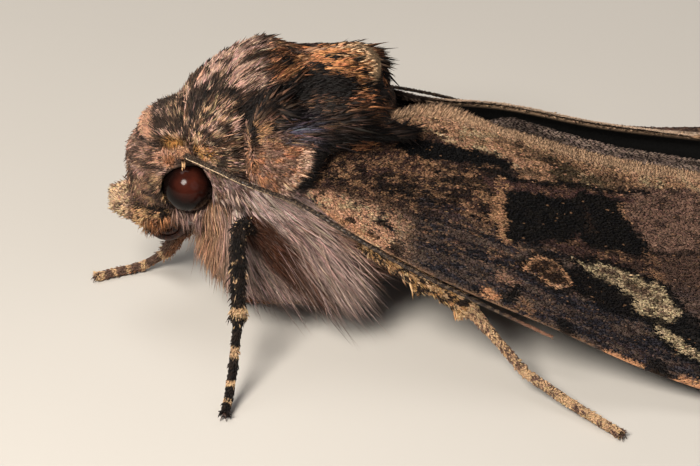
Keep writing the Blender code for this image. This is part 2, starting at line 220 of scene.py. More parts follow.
def addNode(tree, kind, inputs, operation=None):
    node = tree.nodes.new("ShaderNode" + kind)
    if operation:
        node.operation = operation
    return setInputs(tree, node, inputs)


def addRamp(tree, share, *stops):
    ramp = addNode(tree, "ValToRGB", {"Fac": share})
    for element, (position, colour) in zip(ramp.color_ramp.elements, stops):
        element.position = position
        element.color = colour
    return ramp.outputs["Color"]


def scaleMaterial(name, k):
    # colour from the piece's own tint, broken up by a fine grain
    material, tree, shader = newMaterial(name)
    tint = addNode(tree, "Attribute", {})
    tint.attribute_name = "tint"
    place = addNode(tree, "TexCoord", {}).outputs["Object"]
    grain = addNode(tree, "TexNoise", {"Scale": k["grain"] / mm, "Detail": 3, "Vector": place}).outputs["Fac"]
    spread = addNode(tree, "MapRange", {"From Min": 0.3, "From Max": 0.7, "To Min": 1 - k["uneven"],
                                        "To Max": 1 + k["uneven"], "Value": grain}).outputs["Result"]
    mix = addNode(tree, "VectorMath", {0: tint.outputs["Color"], "Scale": spread}, "SCALE")
    gloss = addNode(tree, "MapRange", {"To Min": k["rough"][0], "To Max": k["rough"][1], "Value": grain})
    bump = addNode(tree, "Bump", {"Strength": k["bump"], "Distance": 0.02 * mm, "Height": grain})
    setInputs(tree, shader, {
        "Base Color": mix.outputs["Vector"], "Roughness": gloss.outputs["Result"],
        "Normal": bump.outputs["Normal"], "Specular IOR Level": k["shine"], "Sheen Weight": k["sheen"],
        "Sheen Roughness": 0.4, "Sheen Tint": (*k["sheenTint"], 1)})
    return material


materialLooks = {
    "coat": {"grain": 9, "uneven": 0.2, "rough": (0.55, 0.8), "bump": 0.3, "shine": 0.22,
             "sheen": 0.03, "sheenTint": (0.9, 0.75, 0.7)},
    "silk": {"grain": 7, "uneven": 0.15, "rough": (0.32, 0.5), "bump": 0.2, "shine": 0.55,
             "sheen": 0.05, "sheenTint": (0.9, 0.8, 0.85)},
    "wing": {"grain": 12, "uneven": 0.2, "rough": (0.45, 0.75), "bump": 0.4, "shine": 0.11,
             "sheen": 0.01, "sheenTint": (0.7, 0.7, 0.95)},
    "skin": {"grain": 14, "uneven": 0.25, "rough": (0.6, 0.85), "bump": 0.6, "shine": 0.15,
             "sheen": 0.0, "sheenTint": (1, 1, 1)},
    "horn": {"grain": 20, "uneven": 0.2, "rough": (0.35, 0.55), "bump": 0.3, "shine": 0.35,
             "sheen": 0.0, "sheenTint": (1, 1, 1)},
}
materials = {name: scaleMaterial(name + "_finish", look) for name, look in materialLooks.items()}

skinMake = {"grow": 0.1, "voxel": 0.09, "settle": 10}  # solids grown to close their joints, then drawn in
coatDepth = {"head": 0.17, "palp": 0.13, "collar": 0.26, "thorax": 0.28, "tegula": 0.2,
             "breast": 0.34, "abdomen": 0.18, "thigh": 0.1, "shin": 0.07, "foot": 0.12}
partNames = list(coatDepth)
bareNodes = ("eye", "fore", "hindwing", "antenna", "proboscis")  # these get pieces of their own
fleshNodes = [name for name in sorted(nodes) if not name.startswith(bareNodes)]


def partOf(node):
    return next(i for i, part in enumerate(partNames) if part in node)


def solidOf(node):
    # a solid's welded points and triangles in mm
    mesh = nodes[node].data
    points = toMoth(pulled(mesh.vertices, "co", 3))
    mesh.calc_loop_triangles()
    corners = pulled(mesh.loop_triangles, "vertices", 3, np.int32)
    welded, index = np.unique(np.round(points, 4), axis=0, return_inverse=True)
    faces = index.ravel()[corners]
    return welded, faces[(faces != np.roll(faces, 1, 1)).all(1)]


def faceNormals(points, faces):
    a, b, c = (points[faces[:, k]] for k in range(3))
    return np.cross(b - a, c - a)


def pointNormals(points, faces):
    normals = np.zeros_like(points)
    across = faceNormals(points, faces)
    for k in range(faces.shape[1]):
        for axis in range(3):
            normals[:, axis] += np.bincount(faces[:, k], across[:, axis], len(points))
    return unit(normals)


def evenOut(values, edges, rounds):
    # each point's value drifts towards its neighbours'
    count = np.bincount(edges.ravel(), minlength=len(values))
    for _ in range(rounds):
        total = np.zeros_like(values)
        for axis in range(values.shape[1]):
            column = values[:, axis]
            total[:, axis] = np.bincount(edges[:, 0], column[edges[:, 1]], len(values))
            total[:, axis] += np.bincount(edges[:, 1], column[edges[:, 0]], len(values))
        values = 0.5 * values + 0.5 * total / np.maximum(count, 1)[:, None]
    return values


def pressed(p, part, edges):
    # behind the fan and along the top of the tegulae the skin lies deeper, and the palps hang
    y, z = p[:, 1], p[:, 2]
    tegula = (part == partNames.index("tegula")) * 1.0
    back = ease(y, 6.2, 7.2) * ease(z, 8.1, 8.6)
    palp = ease(-y, 1.3, 2.0) * ease(z, 6.0, 5.5) * ease(z, 3.0, 3.4)
    move = np.zeros_like(p)
    move[:, 2] = -0.4 * tegula * ease(z, 8.4, 8.9) * ease(y, 2.6, 3.2) - palp * (0.22 + (z - 4.85) * 0.3)
    move[:, 1] = -(0.45 + 0.4 * tegula) * back
    return evenOut(move, edges, 5)


def makeSkin():
    allPoints, allFaces, grown, owners = [], [], [], []
    start = 0
    for node in fleshNodes:
        points, faces = solidOf(node)
        allPoints.append(points)
        allFaces.append(faces + start)
        grown.append(points + pointNormals(points, faces) * skinMake["grow"])
        owners += [partOf(node)] * len(faces)
        start += len(points)
    solids, faces = np.vstack(allPoints), np.vstack(allFaces)
    holder = bpy.data.objects.new("skinHolder", newMesh("skinHolder", np.vstack(grown), faces, False))
    bpy.context.scene.collection.objects.link(holder)
    remesh = holder.modifiers.new("remesh", "REMESH")
    remesh.mode = "VOXEL"
    remesh.voxel_size = skinMake["voxel"]
    depsgraph = bpy.context.evaluated_depsgraph_get()
    made = bpy.data.meshes.new_from_object(holder.evaluated_get(depsgraph))
    bpy.data.objects.remove(holder)
    points = pulled(made.vertices, "co", 3).astype(float)
    quads = pulled(made.loops, "vertex_index", 1, np.int32).reshape(-1, 4)
    edges = pulled(made.edges, "vertices", 2, np.int32)
    bpy.data.meshes.remove(made)
    tree = BVHTree.FromPolygons([Vector(p) for p in solids], faces.tolist())
    part = np.array(owners)[[tree.find_nearest(Vector(p))[2] for p in points]]
    depth = np.array(list(coatDepth.values()))[part][:, None]
    depth = evenOut(depth, edges, skinMake["settle"])
    fromEye = np.linalg.norm(leftSide(points) - eyeMiddle, axis=1)
    eyeRoom = np.maximum(fromEye - eyeRadius - 0.03, 0)
    depth[:, 0] = np.minimum(depth[:, 0] + skinMake["grow"], eyeRoom)
    triangles = np.vstack([quads[:, [0, 1, 2]], quads[:, [0, 2, 3]]])
    normals = unit(evenOut(pointNormals(points, triangles), edges, 4))
    points = evenOut(points - normals * depth, edges, 2)
    points = points + pressed(points, part, edges)
    normals = pointNormals(points, triangles)
    smooth = unit(evenOut(normals, edges, 24))
    limb = np.isin(part, [partNames.index(n) for n in ("thigh", "shin", "foot", "palp")])
    smooth[limb] = normals[limb]
    return points, quads, triangles, part, smooth


skinPoints, skinQuads, skinTriangles, skinPart, skinNormals = makeSkin()
trianglePart = skinPart[skinTriangles[:, 0]]
triangleCentre = skinPoints[skinTriangles].mean(1)
triangleArea = np.linalg.norm(faceNormals(skinPoints, skinTriangles), axis=1) / 2
skinTree = BVHTree.FromPolygons([Vector(v) for v in skinPoints], skinTriangles.tolist())
print("skin:", len(skinQuads), "faces")

legJoints = {  # hip, knee, ankle and toe joints
    "mid_left": [(1.5, 2.9, 3.2), (3.35, 1.55, 5.35), (4.9, 1.45, 2.7), (5.85, 1.22, 1.35),
                 (6.45, 1.03, 0.5), (7.05, 0.83, 0.19)],
    "mid_right": [(-1.5, 2.9, 3.2), (-3.35, 1.9, 5.05), (-4.3, 2.2, 2.3), (-4.75, 2.4, 1.05),
                  (-5.05, 2.55, 0.42), (-5.75, 2.75, 0.19)],
    "fore_left": [(0.75, 1.5, 2.5), (0.55, 1.45, 0.8), (0.45, 3.0, 0.42), (0.45, 3.7, 0.28),
                  (0.5, 4.5, 0.19), (0.6, 5.3, 0.19)],
    "fore_right": [(-0.9, 1.0, 2.7), (-1.35, -0.15, 2.0), (-2.15, -0.75, 0.62),
                   (-2.05, -1.45, 0.26), (-1.85, -2.3, 0.19), (-1.55, -3.15, 0.19)],
    "hind_left": [(1.2, 5.5, 2.8), (3.35, 5.85, 4.25), (5.0, 9.1, 2.75), (6.4, 10.85, 1.0),
                  (7.5, 12.3, 0.42), (9.1, 13.85, 0.19)],
}
legJoints["hind_right"] = [(-x, y, z) for x, y, z in legJoints["hind_left"]]
legNames = list(legJoints)


def legPlace(points):
    # nearest leg, its direction there, and the place along it: 1 at the ankle, 2 at the claws
    best = np.full(len(points), 1e9)
    leg = np.zeros(len(points), int)
    way = np.zeros((len(points), 3))
    share = np.zeros(len(points))
    axis = np.zeros((len(points), 3))
    for i, name in enumerate(legNames):
        joints = np.array(legJoints[name])
        lengths = np.linalg.norm(np.diff(joints, axis=0), axis=1)
        footStart = lengths[:2].sum()
        marks = np.concatenate([[-1], [0], 1 + (np.cumsum(lengths)[1:] - footStart) / lengths[2:].sum()])
        for k, (a, b) in enumerate(zip(joints, joints[1:])):
            step = b - a
            f = np.clip(((points - a) @ step) / (step @ step), 0, 1)
            centre = a + f[:, None] * step
            reach = np.linalg.norm(points - centre, axis=1)
            closer = reach < best
            best[closer] = reach[closer]
            leg[closer] = i
            way[closer] = step / np.linalg.norm(step)
            share[closer] = (marks[k] + f * (marks[k + 1] - marks[k]))[closer]
            axis[closer] = centre[closer]
    return leg, way, share, axis


bodyPaint = {
    "mauve": paint(122, 94, 80), "pinkPale": paint(186, 142, 116), "ochre": paint(186, 134, 74),
    "orange": paint(160, 106, 70), "brown": paint(84, 60, 45), "darkBrown": paint(36, 26, 20),
    "black": paint(13, 9, 8), "greyPink": paint(164, 134, 120), "cream": paint(222, 178, 132),
    "buff": paint(160, 122, 88), "blueGrey": paint(84, 84, 100), "silverHair": paint(214, 188, 178),
    "warmHair": paint(146, 108, 78), "hollow": paint(64, 34, 18), "greyHair": paint(132, 108, 100),
    "legCream": paint(222, 184, 142), "gold": paint(180, 138, 92), "tipCream": paint(226, 194, 156),
    "greyBuff": paint(152, 124, 100), "fanHair": paint(176, 120, 78), "fanRimLit": paint(252, 216, 172),
    "rim": paint(226, 186, 160),
}
antennaRoot = np.array([1.45, 0.02, 6.75])


def streaks(p, seed=0):
    # uneven clumps, drawn out along the hair
    return noise(p, (0.22, 0.6, 0.22), seed) * 0.55 + noise(p, 0.13, seed + 3) * 0.45


def spot(p, centre, size):
    # a soft round spot on both sides of the moth
    return np.exp(-(((leftSide(p) - centre) / size) ** 2).sum(1))


def headTint(p):
    y, z = p[:, 1], p[:, 2]
    clump = streaks(p, 1)
    tint, lay = layers(bodyPaint, "mauve", len(p))
    lay("darkBrown", ease(clump, 0.5, 0.6) * 0.75)
    lay("greyPink", ease(clump, 0.42, 0.34) * 0.8)
    fan = ease(z, 6.27, 6.4) * ease(z, 6.98, 6.88) * ease(-y, 0.35, 0.55)
    lay("pinkPale", fan * ease(-y, 1.45, 1.25) * ease(clump, 0.6, 0.48) * 0.85)
    lay("orange", fan * ease(-y, 0.95, 0.7) * ease(clump, 0.4, 0.52) * 0.6)
    under = np.exp(-((z - 6.2 + 0.05 * y) / 0.07) ** 2) * ease(-y, 0.62, 0.72) * ease(-y, 1.5, 1.38)
    lay("black", under * ease(clump, 0.3, 0.42) * 0.9)
    lay("cream", spot(p, (1.3, -1.1, 5.8), (0.5, 0.24, 0.17)) * ease(clump, 0.62, 0.5) * 0.9)
    lay("black", spot(p, (1.2, -1.02, 4.98), (0.5, 0.42, 0.3)) * 0.95)
    lay("black", spot(p, (1.25, -0.98, 5.42), (0.6, 0.27, 0.24)) * 0.92)
    vertexPart = ease(z, 7.02, 7.12)
    lay("pinkPale", vertexPart * ease(-y, 1.0, 1.2) * ease(clump, 0.62, 0.5) * 0.8)
    lay("darkBrown", vertexPart * ease(-y, 1.2, 1.0) * ease(clump, 0.26, 0.36))
    lay("greyBuff", vertexPart * ease(-y, 0.75, 0.55) * ease(noise(p, (0.1, 0.4, 0.1), 3), 0.62, 0.72) * 0.6)
    notch = np.exp(-((z - 7.04 - 0.03 * y) / 0.08) ** 2) * ease(-y, 0.3, 0.7)
    lay("black", notch)
    lay("ochre", spot(p, (1.1, -0.42, 7.12), (0.4, 0.28, 0.15)))
    low = ease(z, 5.95, 5.7) * ease(-y, 0.9, 1.2)
    lay("cream", low * ease(clump, 0.44, 0.36) * 0.5)
    rim = np.linalg.norm(leftSide(p) - eyeMiddle, axis=1)
    lay("black", ease(rim, 1.02, 0.93) * 0.95)
    lay("cream", spot(p, (1.2, -0.82, 5.75), (0.3, 0.1, 0.1)))
    lay("cream", spot(p, (1.2, -0.8, 5.2), (0.3, 0.1, 0.1)))
    back = ease(y, 0.35, 0.7) * ease(z, 6.6, 6.2)
    lay("greyHair", np.maximum(back, ease(y, -0.5, -0.2) * ease(z, 5.0, 4.7)) * 0.85)
    return tint


def palpTint(p):
    y, z = p[:, 1], p[:, 2]
    clump = noise(p, 0.1, 5)
    tint, lay = layers(bodyPaint, "darkBrown", len(p))
    lay("buff", ease(clump, 0.54, 0.62) * 0.9)
    lay("cream", ease(clump, 0.72, 0.78))
    lay("mauve", ease(z, 4.6, 4.9) * ease(-y, 1.2, 1.5) * 0.7)
    lay("black", spot(p, (0.9, -1.15, 4.52), (0.6, 0.5, 0.28)) * 0.95)
    lay("orange", ease(z, 4.05, 3.8) * ease(clump, 0.35, 0.5) * 0.8)
    grains = noise(p, 0.075, 6)
    lay("cream", ease(-y, 1.3, 1.55) * ease(z, 4.6, 4.4) * ease(grains, 0.5, 0.6) * 0.9)
    lay("mauve", ease(-y, 1.75, 1.9) * 0.8, 0.7)
    lay("tipCream", ease(-y, 1.85, 2.15) * ease(grains, 0.36, 0.52) * 0.95)
    return tint


bandLine = [(0.05, 7.75), (0.28, 8.45), (0.62, 8.82), (0.95, 9.06), (1.3, 9.12), (1.62, 9.05),
            (1.85, 8.8), (2.02, 8.65), (2.13, 8.35), (2.2, 8.0), (2.2, 7.6)]


def withBand(p, tint):
    # the black arch over collar and shoulder
    near = lineReach(bandLine, p[:, 1:]) + 0.22 * (streaks(p, 7) - 0.5)
    return over(tint, bodyPaint["black"], ease(near, 0.165, 0.07) * ease(p[:, 2], 7.75, 8.05) * 0.95)


def collarTint(p):
    y, z = p[:, 1], p[:, 2]
    clump = streaks(p, 7)
    tint, lay = layers(bodyPaint, "brown", len(p))
    lay("greyPink", ease(noise(p, (0.16, 0.3, 0.16), 2), 0.5, 0.62) * 0.85)
    lay("greyBuff", ease(noise(p, (0.14, 0.34, 0.14), 4), 0.5, 0.6) * 0.9)
    lay("darkBrown", ease(clump, 0.5, 0.58) * 0.95)
    lay("black", ease(noise(p, (0.1, 0.24, 0.1), 8), 0.66, 0.74) * 0.9)
    root = spot(p, (1.75, 0.3, 7.05), (0.4, 0.26, 0.26)) + spot(p, (2.05, 0.72, 7.25), (0.3, 0.22, 0.14))
    lay("ochre", root * ease(clump, 0.6, 0.46) * 0.95)
    beyond = ease(z - np.interp(y, *np.array(bandLine[:6]).T), 0.05, 0.18) * ease(y, 0.1, 0.4)
    lay("greyPink", beyond * ease(clump, 0.56, 0.42) * 0.9)
    low = ease(z, 6.7, 6.4)
    lay("greyHair", low * 0.9)
    lay("silverHair", low * ease(y, 0.9, 1.6) * ease(clump, 0.56, 0.4))
    return withBand(p, tint)


streakLine = [(2.3, 8.95), (3.2, 9.08), (3.9, 9.2), (4.4, 9.31), (5.4, 9.15)]


rimLine = [(9.05, 6.5), (9.37, 6.53), (9.66, 6.38), (9.84, 6.22), (10.1, 5.75), (10.3, 5.45)]  # z, y


def pastRim(p):
    # how far behind the pale rim of the hair fan
    line = np.array(rimLine)
    return p[:, 1] - np.interp(p[:, 2], line[:, 0], line[:, 1])


def thoraxTint(p):
    x, y, z = np.abs(p[:, 0]), p[:, 1], p[:, 2]
    clump = streaks(p, 11)
    side = stacked([y, z])
    tint, lay = layers(bodyPaint, "brown", len(p))
    lay("black", ease(clump, 0.42, 0.55))
    crest = ease(y, 3.1, 2.6) * ease(z, 9.0, 9.4)
    lay("brown", crest * 0.8)
    lay("greyPink", crest * ease(clump, 0.56, 0.42))
    lay("black", crest * ease(clump, 0.56, 0.64) * 0.85)
    dorsum = ease(z, 9.3, 9.65) * ease(y, 2.6, 3.1) * ease(y, 6.5, 6.2)
    lay("orange", dorsum * ease(clump, 0.62, 0.48) * 0.9)
    lay("buff", dorsum * ease(clump, 0.4, 0.32) * 0.7)
    past = pastRim(p)
    fan = ease(z, 9.0, 9.3) * ease(y, 4.2, 4.7) * ease(past, 0.05, -0.05)
    lay("fanHair", fan * ease(clump, 0.62, 0.46))
    lay("black", ease(past, 0.03, 0.12) * ease(z, 8.4, 8.7) * 0.95)
    lay("greyBuff", ease(y, 6.9, 7.2) * ease(z, 8.8, 9.0) * ease(clump, 0.5, 0.4) * 0.8)
    low = ease(y, 5.2, 5.7) * ease(z, 9.15, 8.85) * ease(y, 6.9, 6.6)
    lay("orange", low * ease(clump, 0.52, 0.43) * 0.75)
    near = lineReach(streakLine, side)
    lay("black", ease(near + 0.7 * (clump - 0.5), 0.4, 0.16))
    lay("greyPink", ease(x, 0.12, 0.03) * ease(z, 9.0, 9.6) * 0.35)
    flank = ease(z, 6.9, 6.5) * ease(y, 4.9, 4.3)
    lay("silverHair", flank * ease(clump, 0.75, 0.5) * 0.9)
    return withBand(p, tint)


lobeRim = [(6.3, 2.9), (6.48, 3.1), (6.69, 3.33), (7.03, 3.6), (7.34, 3.88), (7.7, 3.95), (8.0, 3.95)]  # z, y


def tegulaTint(p):
    y, z = p[:, 1], p[:, 2]
    clump = streaks(p, 13)
    tint, lay = layers(bodyPaint, "darkBrown", len(p))
    lay("black", ease(clump, 0.4, 0.52))
    lay("brown", ease(noise(p, (0.12, 0.9, 0.12), 15), 0.6, 0.7) * 0.85)
    front = ease(y, 3.5, 2.5) * ease(z, 9.0, 8.6)
    lay("mauve", front * ease(clump, 0.6, 0.44) * 0.9)
    lay("buff", front * ease(noise(p, (0.14, 0.3, 0.14), 4), 0.52, 0.62) * 0.8)
    # a painted blue sheen on the shoulder scales
    lay("blueGrey", spot(p, (2.85, 3.85, 8.36), (0.8, 0.52, 0.42)) * ease(clump, 0.66, 0.48) * 0.9)
    beyond = y - np.interp(z, *np.array(lobeRim).T)
    lobe = ease(beyond, 0.16, 0.06) * ease(z, 8.2, 7.9)
    lay("black", ease(beyond, 0.05, 0.15) * ease(z, 7.9, 7.7) * 0.9)
    lay("mauve", lobe * 0.9, 1.25)
    lay("orange", lobe * ease(noise(p, 0.22, 17), 0.48, 0.62) * 0.6, 1.1)
    lay("brown", lobe * ease(noise(p, 0.12, 18), 0.6, 0.7) * 0.6)
    edge = ease(beyond, -0.42, -0.16) * lobe * ease(z, 8.0, 7.8)
    lay("rim", edge * ease(noise(p, 0.1, 18), 0.72, 0.5) * 0.95)
    lay("orange", spot(p, (1.7, 6.25, 8.65), (0.5, 0.5, 0.25)) * ease(clump, 0.62, 0.46))
    lay("greyHair", ease(z, 6.65, 6.4) * 0.8)
    top = ease(z, 8.55, 8.85) * (p[:, 0] < 0)
    lay("greyPink", top * ease(y, 3.3, 2.8) * ease(clump, 0.6, 0.46))
    lay("buff", top * ease(y, 2.9, 3.4) * ease(clump, 0.6, 0.46) * 0.9)
    return withBand(p, tint)


hollowLine = [(1.7, 5.1), (2.2, 4.5), (2.7, 4.0), (3.2, 3.4), (3.7, 2.8), (4.4, 2.2)]  # y, z


def fromHollow(p):
    # how far above the breast's hollow, where dark brown shade is painted, along the flank
    side = p[:, 1:]
    line = np.array(hollowLine)
    above = side[:, 1] - np.interp(side[:, 0], line[:, 0], line[:, 1])
    return np.sign(above) * lineReach(line, side)


def breastTint(p):
    y, z = p[:, 1], p[:, 2]
    clump = noise(p, (0.22, 0.5, 0.5), 19)
    above = fromHollow(p)
    tint, lay = layers(bodyPaint, "greyHair", len(p))
    lay("darkBrown", ease(noise(p, (0.16, 0.7, 0.5), 20), 0.6, 0.74) * 0.55)
    lay("silverHair", ease(clump, 0.6, 0.38) * (0.32 + 0.68 * ease(z, 4.3, 5.0)))
    lay("silverHair", ease(z, 4.9, 5.4) * ease(y, 1.4, 2.0) * 0.85, 1.1)
    lay("warmHair", ease(y, 1.6, 0.8) * 0.8)
    lay("warmHair", ease(above, 1.5, 2.2) * ease(y, 3.2, 4.2) * 0.5)
    # painted shade: dark brown in the hollow under the breast's hair (over the brown of what lies in it), at
    # the breast's rear and low down by the floor
    hollowShadeMask = ease(np.abs(above), 0.72, 0.44) * ease(y, 1.5, 1.9) * ease(np.abs(p[:, 0]), 1.2, 1.8)
    lay("hollow", hollowShadeMask)
    lay("hollow", ease(y, 5.0, 5.8) * ease(z, 3.9, 3.4) * 0.8)
    lay("warmHair", ease(y, 5.4, 6.2) * ease(z, 3.4, 3.9) * 0.7)
    lay("hollow", ease(z, 2.2, 1.2) * ease(y, 3.6, 2.6) * 0.6)
    return tint


def abdomenTint(p):
    y, z = p[:, 1], p[:, 2]
    tint, lay = layers(bodyPaint, "mauve", len(p))
    lay("buff", ease(noise(p, 0.9, 6), 0.35, 0.65) * 0.6)
    rings = 0.5 + 0.5 * np.sin(y * 2 * math.pi / 1.5)
    lay("brown", ease(rings, 0.75, 1.0) * 0.6)
    lay("darkBrown", np.exp(-(p[:, 0] / 0.5) ** 2) * ease(z, 3.0, 3.6) * 0.6)
    return tint


legRings = {  # cream rings: place along the leg and half width, 1 at the ankle and 2 at the claws
    "mid": [(0.97, 0.05), (1.36, 0.055), (1.66, 0.03), (1.85, 0.02)],
    "fore": [(0.95, 0.1), (1.3, 0.05), (1.52, 0.03), (1.72, 0.03), (1.93, 0.06)],
    "hind": [(1.01, 0.016), (1.42, 0.03), (1.66, 0.03), (1.82, 0.03)],
}


def legTint(p):
    leg, _, share, axis = legPlace(p)
    clump = noise(p, 0.14, 9)
    fleck = noise(p, (0.1, 0.1, 0.14), 21)
    tint, lay = layers(bodyPaint, "black", len(p))
    pair = np.array([name.split("_")[0] for name in legNames])[leg]
    lay("darkBrown", ease(clump, 0.5, 0.6))
    mid = pair == "mid"
    lay("legCream", mid * ease(fleck, 0.77, 0.81) * (share < 1.1) * 0.8)
    fore = pair == "fore"
    lay("mauve", fore * 0.75, 0.75)
    under = fore * ease((axis - p)[:, 2], 0.02, 0.12)
    lay("orange", under * 0.55)
    hindShin = (pair == "hind") & (share < 1)
    lay("darkBrown", hindShin * 0.9)
    lay("gold", hindShin * ease(clump, 0.54, 0.44) * 0.8)
    lay("legCream", hindShin * ease(fleck, 0.62, 0.7) * 0.9)
    hindFoot = (pair == "hind") & (share >= 1)
    lay("mauve", hindFoot * 0.95, 0.8)
    small = noise(p, (0.075, 0.075, 0.09), 27)
    lay("legCream", hindFoot * ease(small, 0.4, 0.52) * 0.9, 1.05)
    for name, rings in legRings.items():
        for place, half in rings:
            onRing = (pair == name) * ease(np.abs(share - place), half * 1.2, half * 0.85)
            lay("legCream", onRing * ease(small, 0.75, 0.62))
    return tint


tintOf = {"head": headTint, "palp": palpTint, "collar": collarTint, "thorax": thoraxTint,
          "tegula": tegulaTint, "breast": breastTint, "abdomen": abdomenTint,
          "thigh": legTint, "shin": legTint, "foot": legTint}


def bodyTint(p, part):
    tint = np.zeros((len(p), 3))
    for i, name in enumerate(partNames):
        mine = part == i
        if mine.any():
            tint[mine] = tintOf[name](p[mine])
    return tint


skinMesh = newMesh("moth_skin", toScene(skinPoints), skinQuads)
setTint(skinMesh, bodyTint(skinPoints, skinPart) * 0.45)
addPiece(skinMesh, "skin", fleshNodes)

patchSize = 0.003  # each tuft's place on the coat's unwrap


def bodyPlace(p):
    # the body unrolled: angle round it by distance along it
    height = np.interp(p[:, 1], (-2, 0, 2, 6, 9, 19), (5.8, 5.8, 6.0, 5.4, 3.7, 1.9))
    turn = np.arctan2(p[:, 0], p[:, 2] - height) / (2 * math.pi) + 0.5
    return stacked([turn, (p[:, 1] + 3.2) / 22.4])


def legUnroll(p):
    # each leg a strip of its own
    leg, way, share, axis = legPlace(p)
    spoke = p - axis
    across = unit(np.cross(way, (0.3, 0.2, 0.9)))
    other = np.cross(way, across)
    turn = np.arctan2((spoke * other).sum(1), (spoke * across).sum(1)) / (2 * math.pi) + 0.5
    return stacked([(leg + 0.05 + 0.9 * turn) / len(legNames), (share + 1) / 3])


feelerRoute = [(1.4, -0.25, 6.96), (2.16, 0.09, 7.18), (3.16, 0.85, 7.34), (3.81, 1.79, 7.16),
               (4.08, 3.57, 6.43), (4.88, 5.15, 5.72), (5.63, 6.75, 4.99), (6.36, 9.0, 4.0),
               (6.9, 11.65, 2.72)]
feelerShares = np.linspace(0, 1, 161)
feelerPoints = along(feelerRoute, feelerShares)
feelerClear = np.interp(feelerShares, (0, 0.05, 0.1, 0.5), (0.22, 0.18, 0.13, 0.11))
eyeOut = unit(np.array([0.9, -0.12, 0.4]))
feelerOut = unit(np.array([0.84, -0.06, 0.54]))


def keepClear(points):
    # no tuft stands before an eye, over a feeler or in the floor
    q = leftSide(points)
    fromEye = q - eyeMiddle
    out = (fromEye @ eyeOut)[..., None]
    aside = np.linalg.norm(fromEye - eyeOut * out, axis=-1)
    inEye = np.linalg.norm(fromEye, axis=-1) <= eyeRadius + 0.01
    beforeEye = (out[..., 0] > 0.1) & (aside < eyeRadius)
    flat = q.reshape(-1, 3)
    near = np.full(len(flat), False)
    close = np.flatnonzero((flat[:, 0] > 1.2) & (flat[:, 1] < 12))
    batch = 20000
    for start in range(0, len(close), batch):
        some = close[start:start + batch]
        gap = flat[some][:, None] - feelerPoints[None, ::2]
        out = (gap @ feelerOut)[..., None]
        aside = np.linalg.norm(gap - feelerOut * out, axis=-1)
        near[some] = ((aside < feelerClear[::2]) & (out[..., 0] > -0.12)).any(1)
    return ~(inEye | beforeEye | near.reshape(inEye.shape)) & (points[..., 2] > 0.03)


def scatter(parts, perSquare, draw, where=None):
    # evenly random places on the skin, with the skin's normal
    weight = triangleArea * np.isin(trianglePart, [partNames.index(p) for p in parts])
    if where is not None:
        weight = weight * where(triangleCentre)
    count = int(weight.sum() * perSquare)
    total = np.cumsum(weight)
    face = np.searchsorted(total, (np.arange(count) + draw.random(count)) / count * total[-1])
    face = skinTriangles[np.minimum(face, len(total) - 1)]
    a, b = draw.random(count), draw.random(count)
    fold = a + b > 1
    a[fold], b[fold] = 1 - a[fold], 1 - b[fold]
    shares = stacked([1 - a - b, a, b])[..., None]
    return (skinPoints[face] * shares).sum(1), unit((skinNormals[face] * shares).sum(1))


def laidAlong(normal, way, rise, draw, stray):
    # the lie of the coat: a direction laid on the skin, raised by an angle, with some stray
    way = way + draw.normal(0, stray, way.shape)
    flat = unit(way - normal * dot(way, normal))
    rise = np.radians(rise)[:, None] if np.ndim(rise) else math.radians(rise)
    return unit(flat * np.cos(rise) + normal * np.sin(rise))


def combed(verts, limit):
    # tips that would stand too far off the skin are pressed down to the coat's depth
    for i in np.flatnonzero(limit < 2):
        tip = verts[i, 3].copy()
        place, _, _, reach = skinTree.find_nearest(Vector(tip))
        if reach > limit[i]:
            push = (np.array(place) - tip) * (1 - limit[i] / reach)
            verts[i, 3] += push
            verts[i, 1:3] += push * 0.35
    return verts


def addCoat(name, verts, faces, tint, place, corners, finish, smooth=False):
    # one coat piece: every tuft has the same faces and a small patch of its own on the unwrap
    steps = np.arange(len(verts))[:, None, None] * verts.shape[1]
    faces = (np.array(faces)[None] + steps).reshape(-1, 3)
    mesh = newMesh(name, toScene(verts.reshape(-1, 3)), faces, smooth)
    setTint(mesh, tint.reshape(-1, 3))
    place = (place[:, None] * (1 - patchSize) + np.array(corners)[None] * patchSize).reshape(-1, 2)
    layer = mesh.uv_layers.new(name="OFBake")
    layer.data.foreach_set("uv", place[faces.ravel()].astype(np.float32).ravel())
    addPiece(mesh, finish)
    print(name, len(faces), "triangles")


def makeTufts(name, tufts, finish, draw, free=False):
    # thin solid blades: root, two shoulders and a tip
    root, normal, lie = tufts["root"], tufts["normal"], tufts["lie"]
    length = tufts["length"][:, None]
    half = tufts["width"][:, None] / 2
    across = unit(np.cross(normal, lie) + draw.normal(0, 0.25, root.shape))
    lift = unit(np.cross(lie, across))
    lift *= np.sign(dot(lift, normal))
    shoulder = root + lie * length * tufts["shoulder"] + lift * length * tufts["bend"]
    droop = tufts.get("droop", 0.0)
    verts = np.stack([root - normal * 0.03, shoulder + across * half, shoulder - across * half,
                      root + lie * length - lift * length * droop], 1)
    if "comb" in tufts:
        verts = combed(verts, tufts["comb"] * np.exp(draw.normal(0, 0.18, len(verts))))
    keep = np.full(len(verts), True) if free else keepClear(verts).all(1)
    verts = verts[keep]
    rootTint, tipTint = tufts["tint"][keep], tufts["tipTint"][keep]
    tint = np.stack([rootTint, (rootTint + tipTint) / 2, (rootTint + tipTint) / 2, tipTint], 1)
    faces = np.array([(0, 1, 2), (1, 3, 2), (0, 3, 1), (0, 2, 3)])
    sample = verts[:200]
    outward = np.cross(sample[:, 1] - sample[:, 0], sample[:, 2] - sample[:, 0])
    if (outward * (sample[:, 0] - sample[:, 3])).sum() < 0:
        faces = faces[:, ::-1]
    corners = [(0, 0), (-0.5, 0.6), (0.5, 0.6), (0, 1)]
    addCoat(name, verts, faces, tint, tufts["place"][keep], corners, finish)


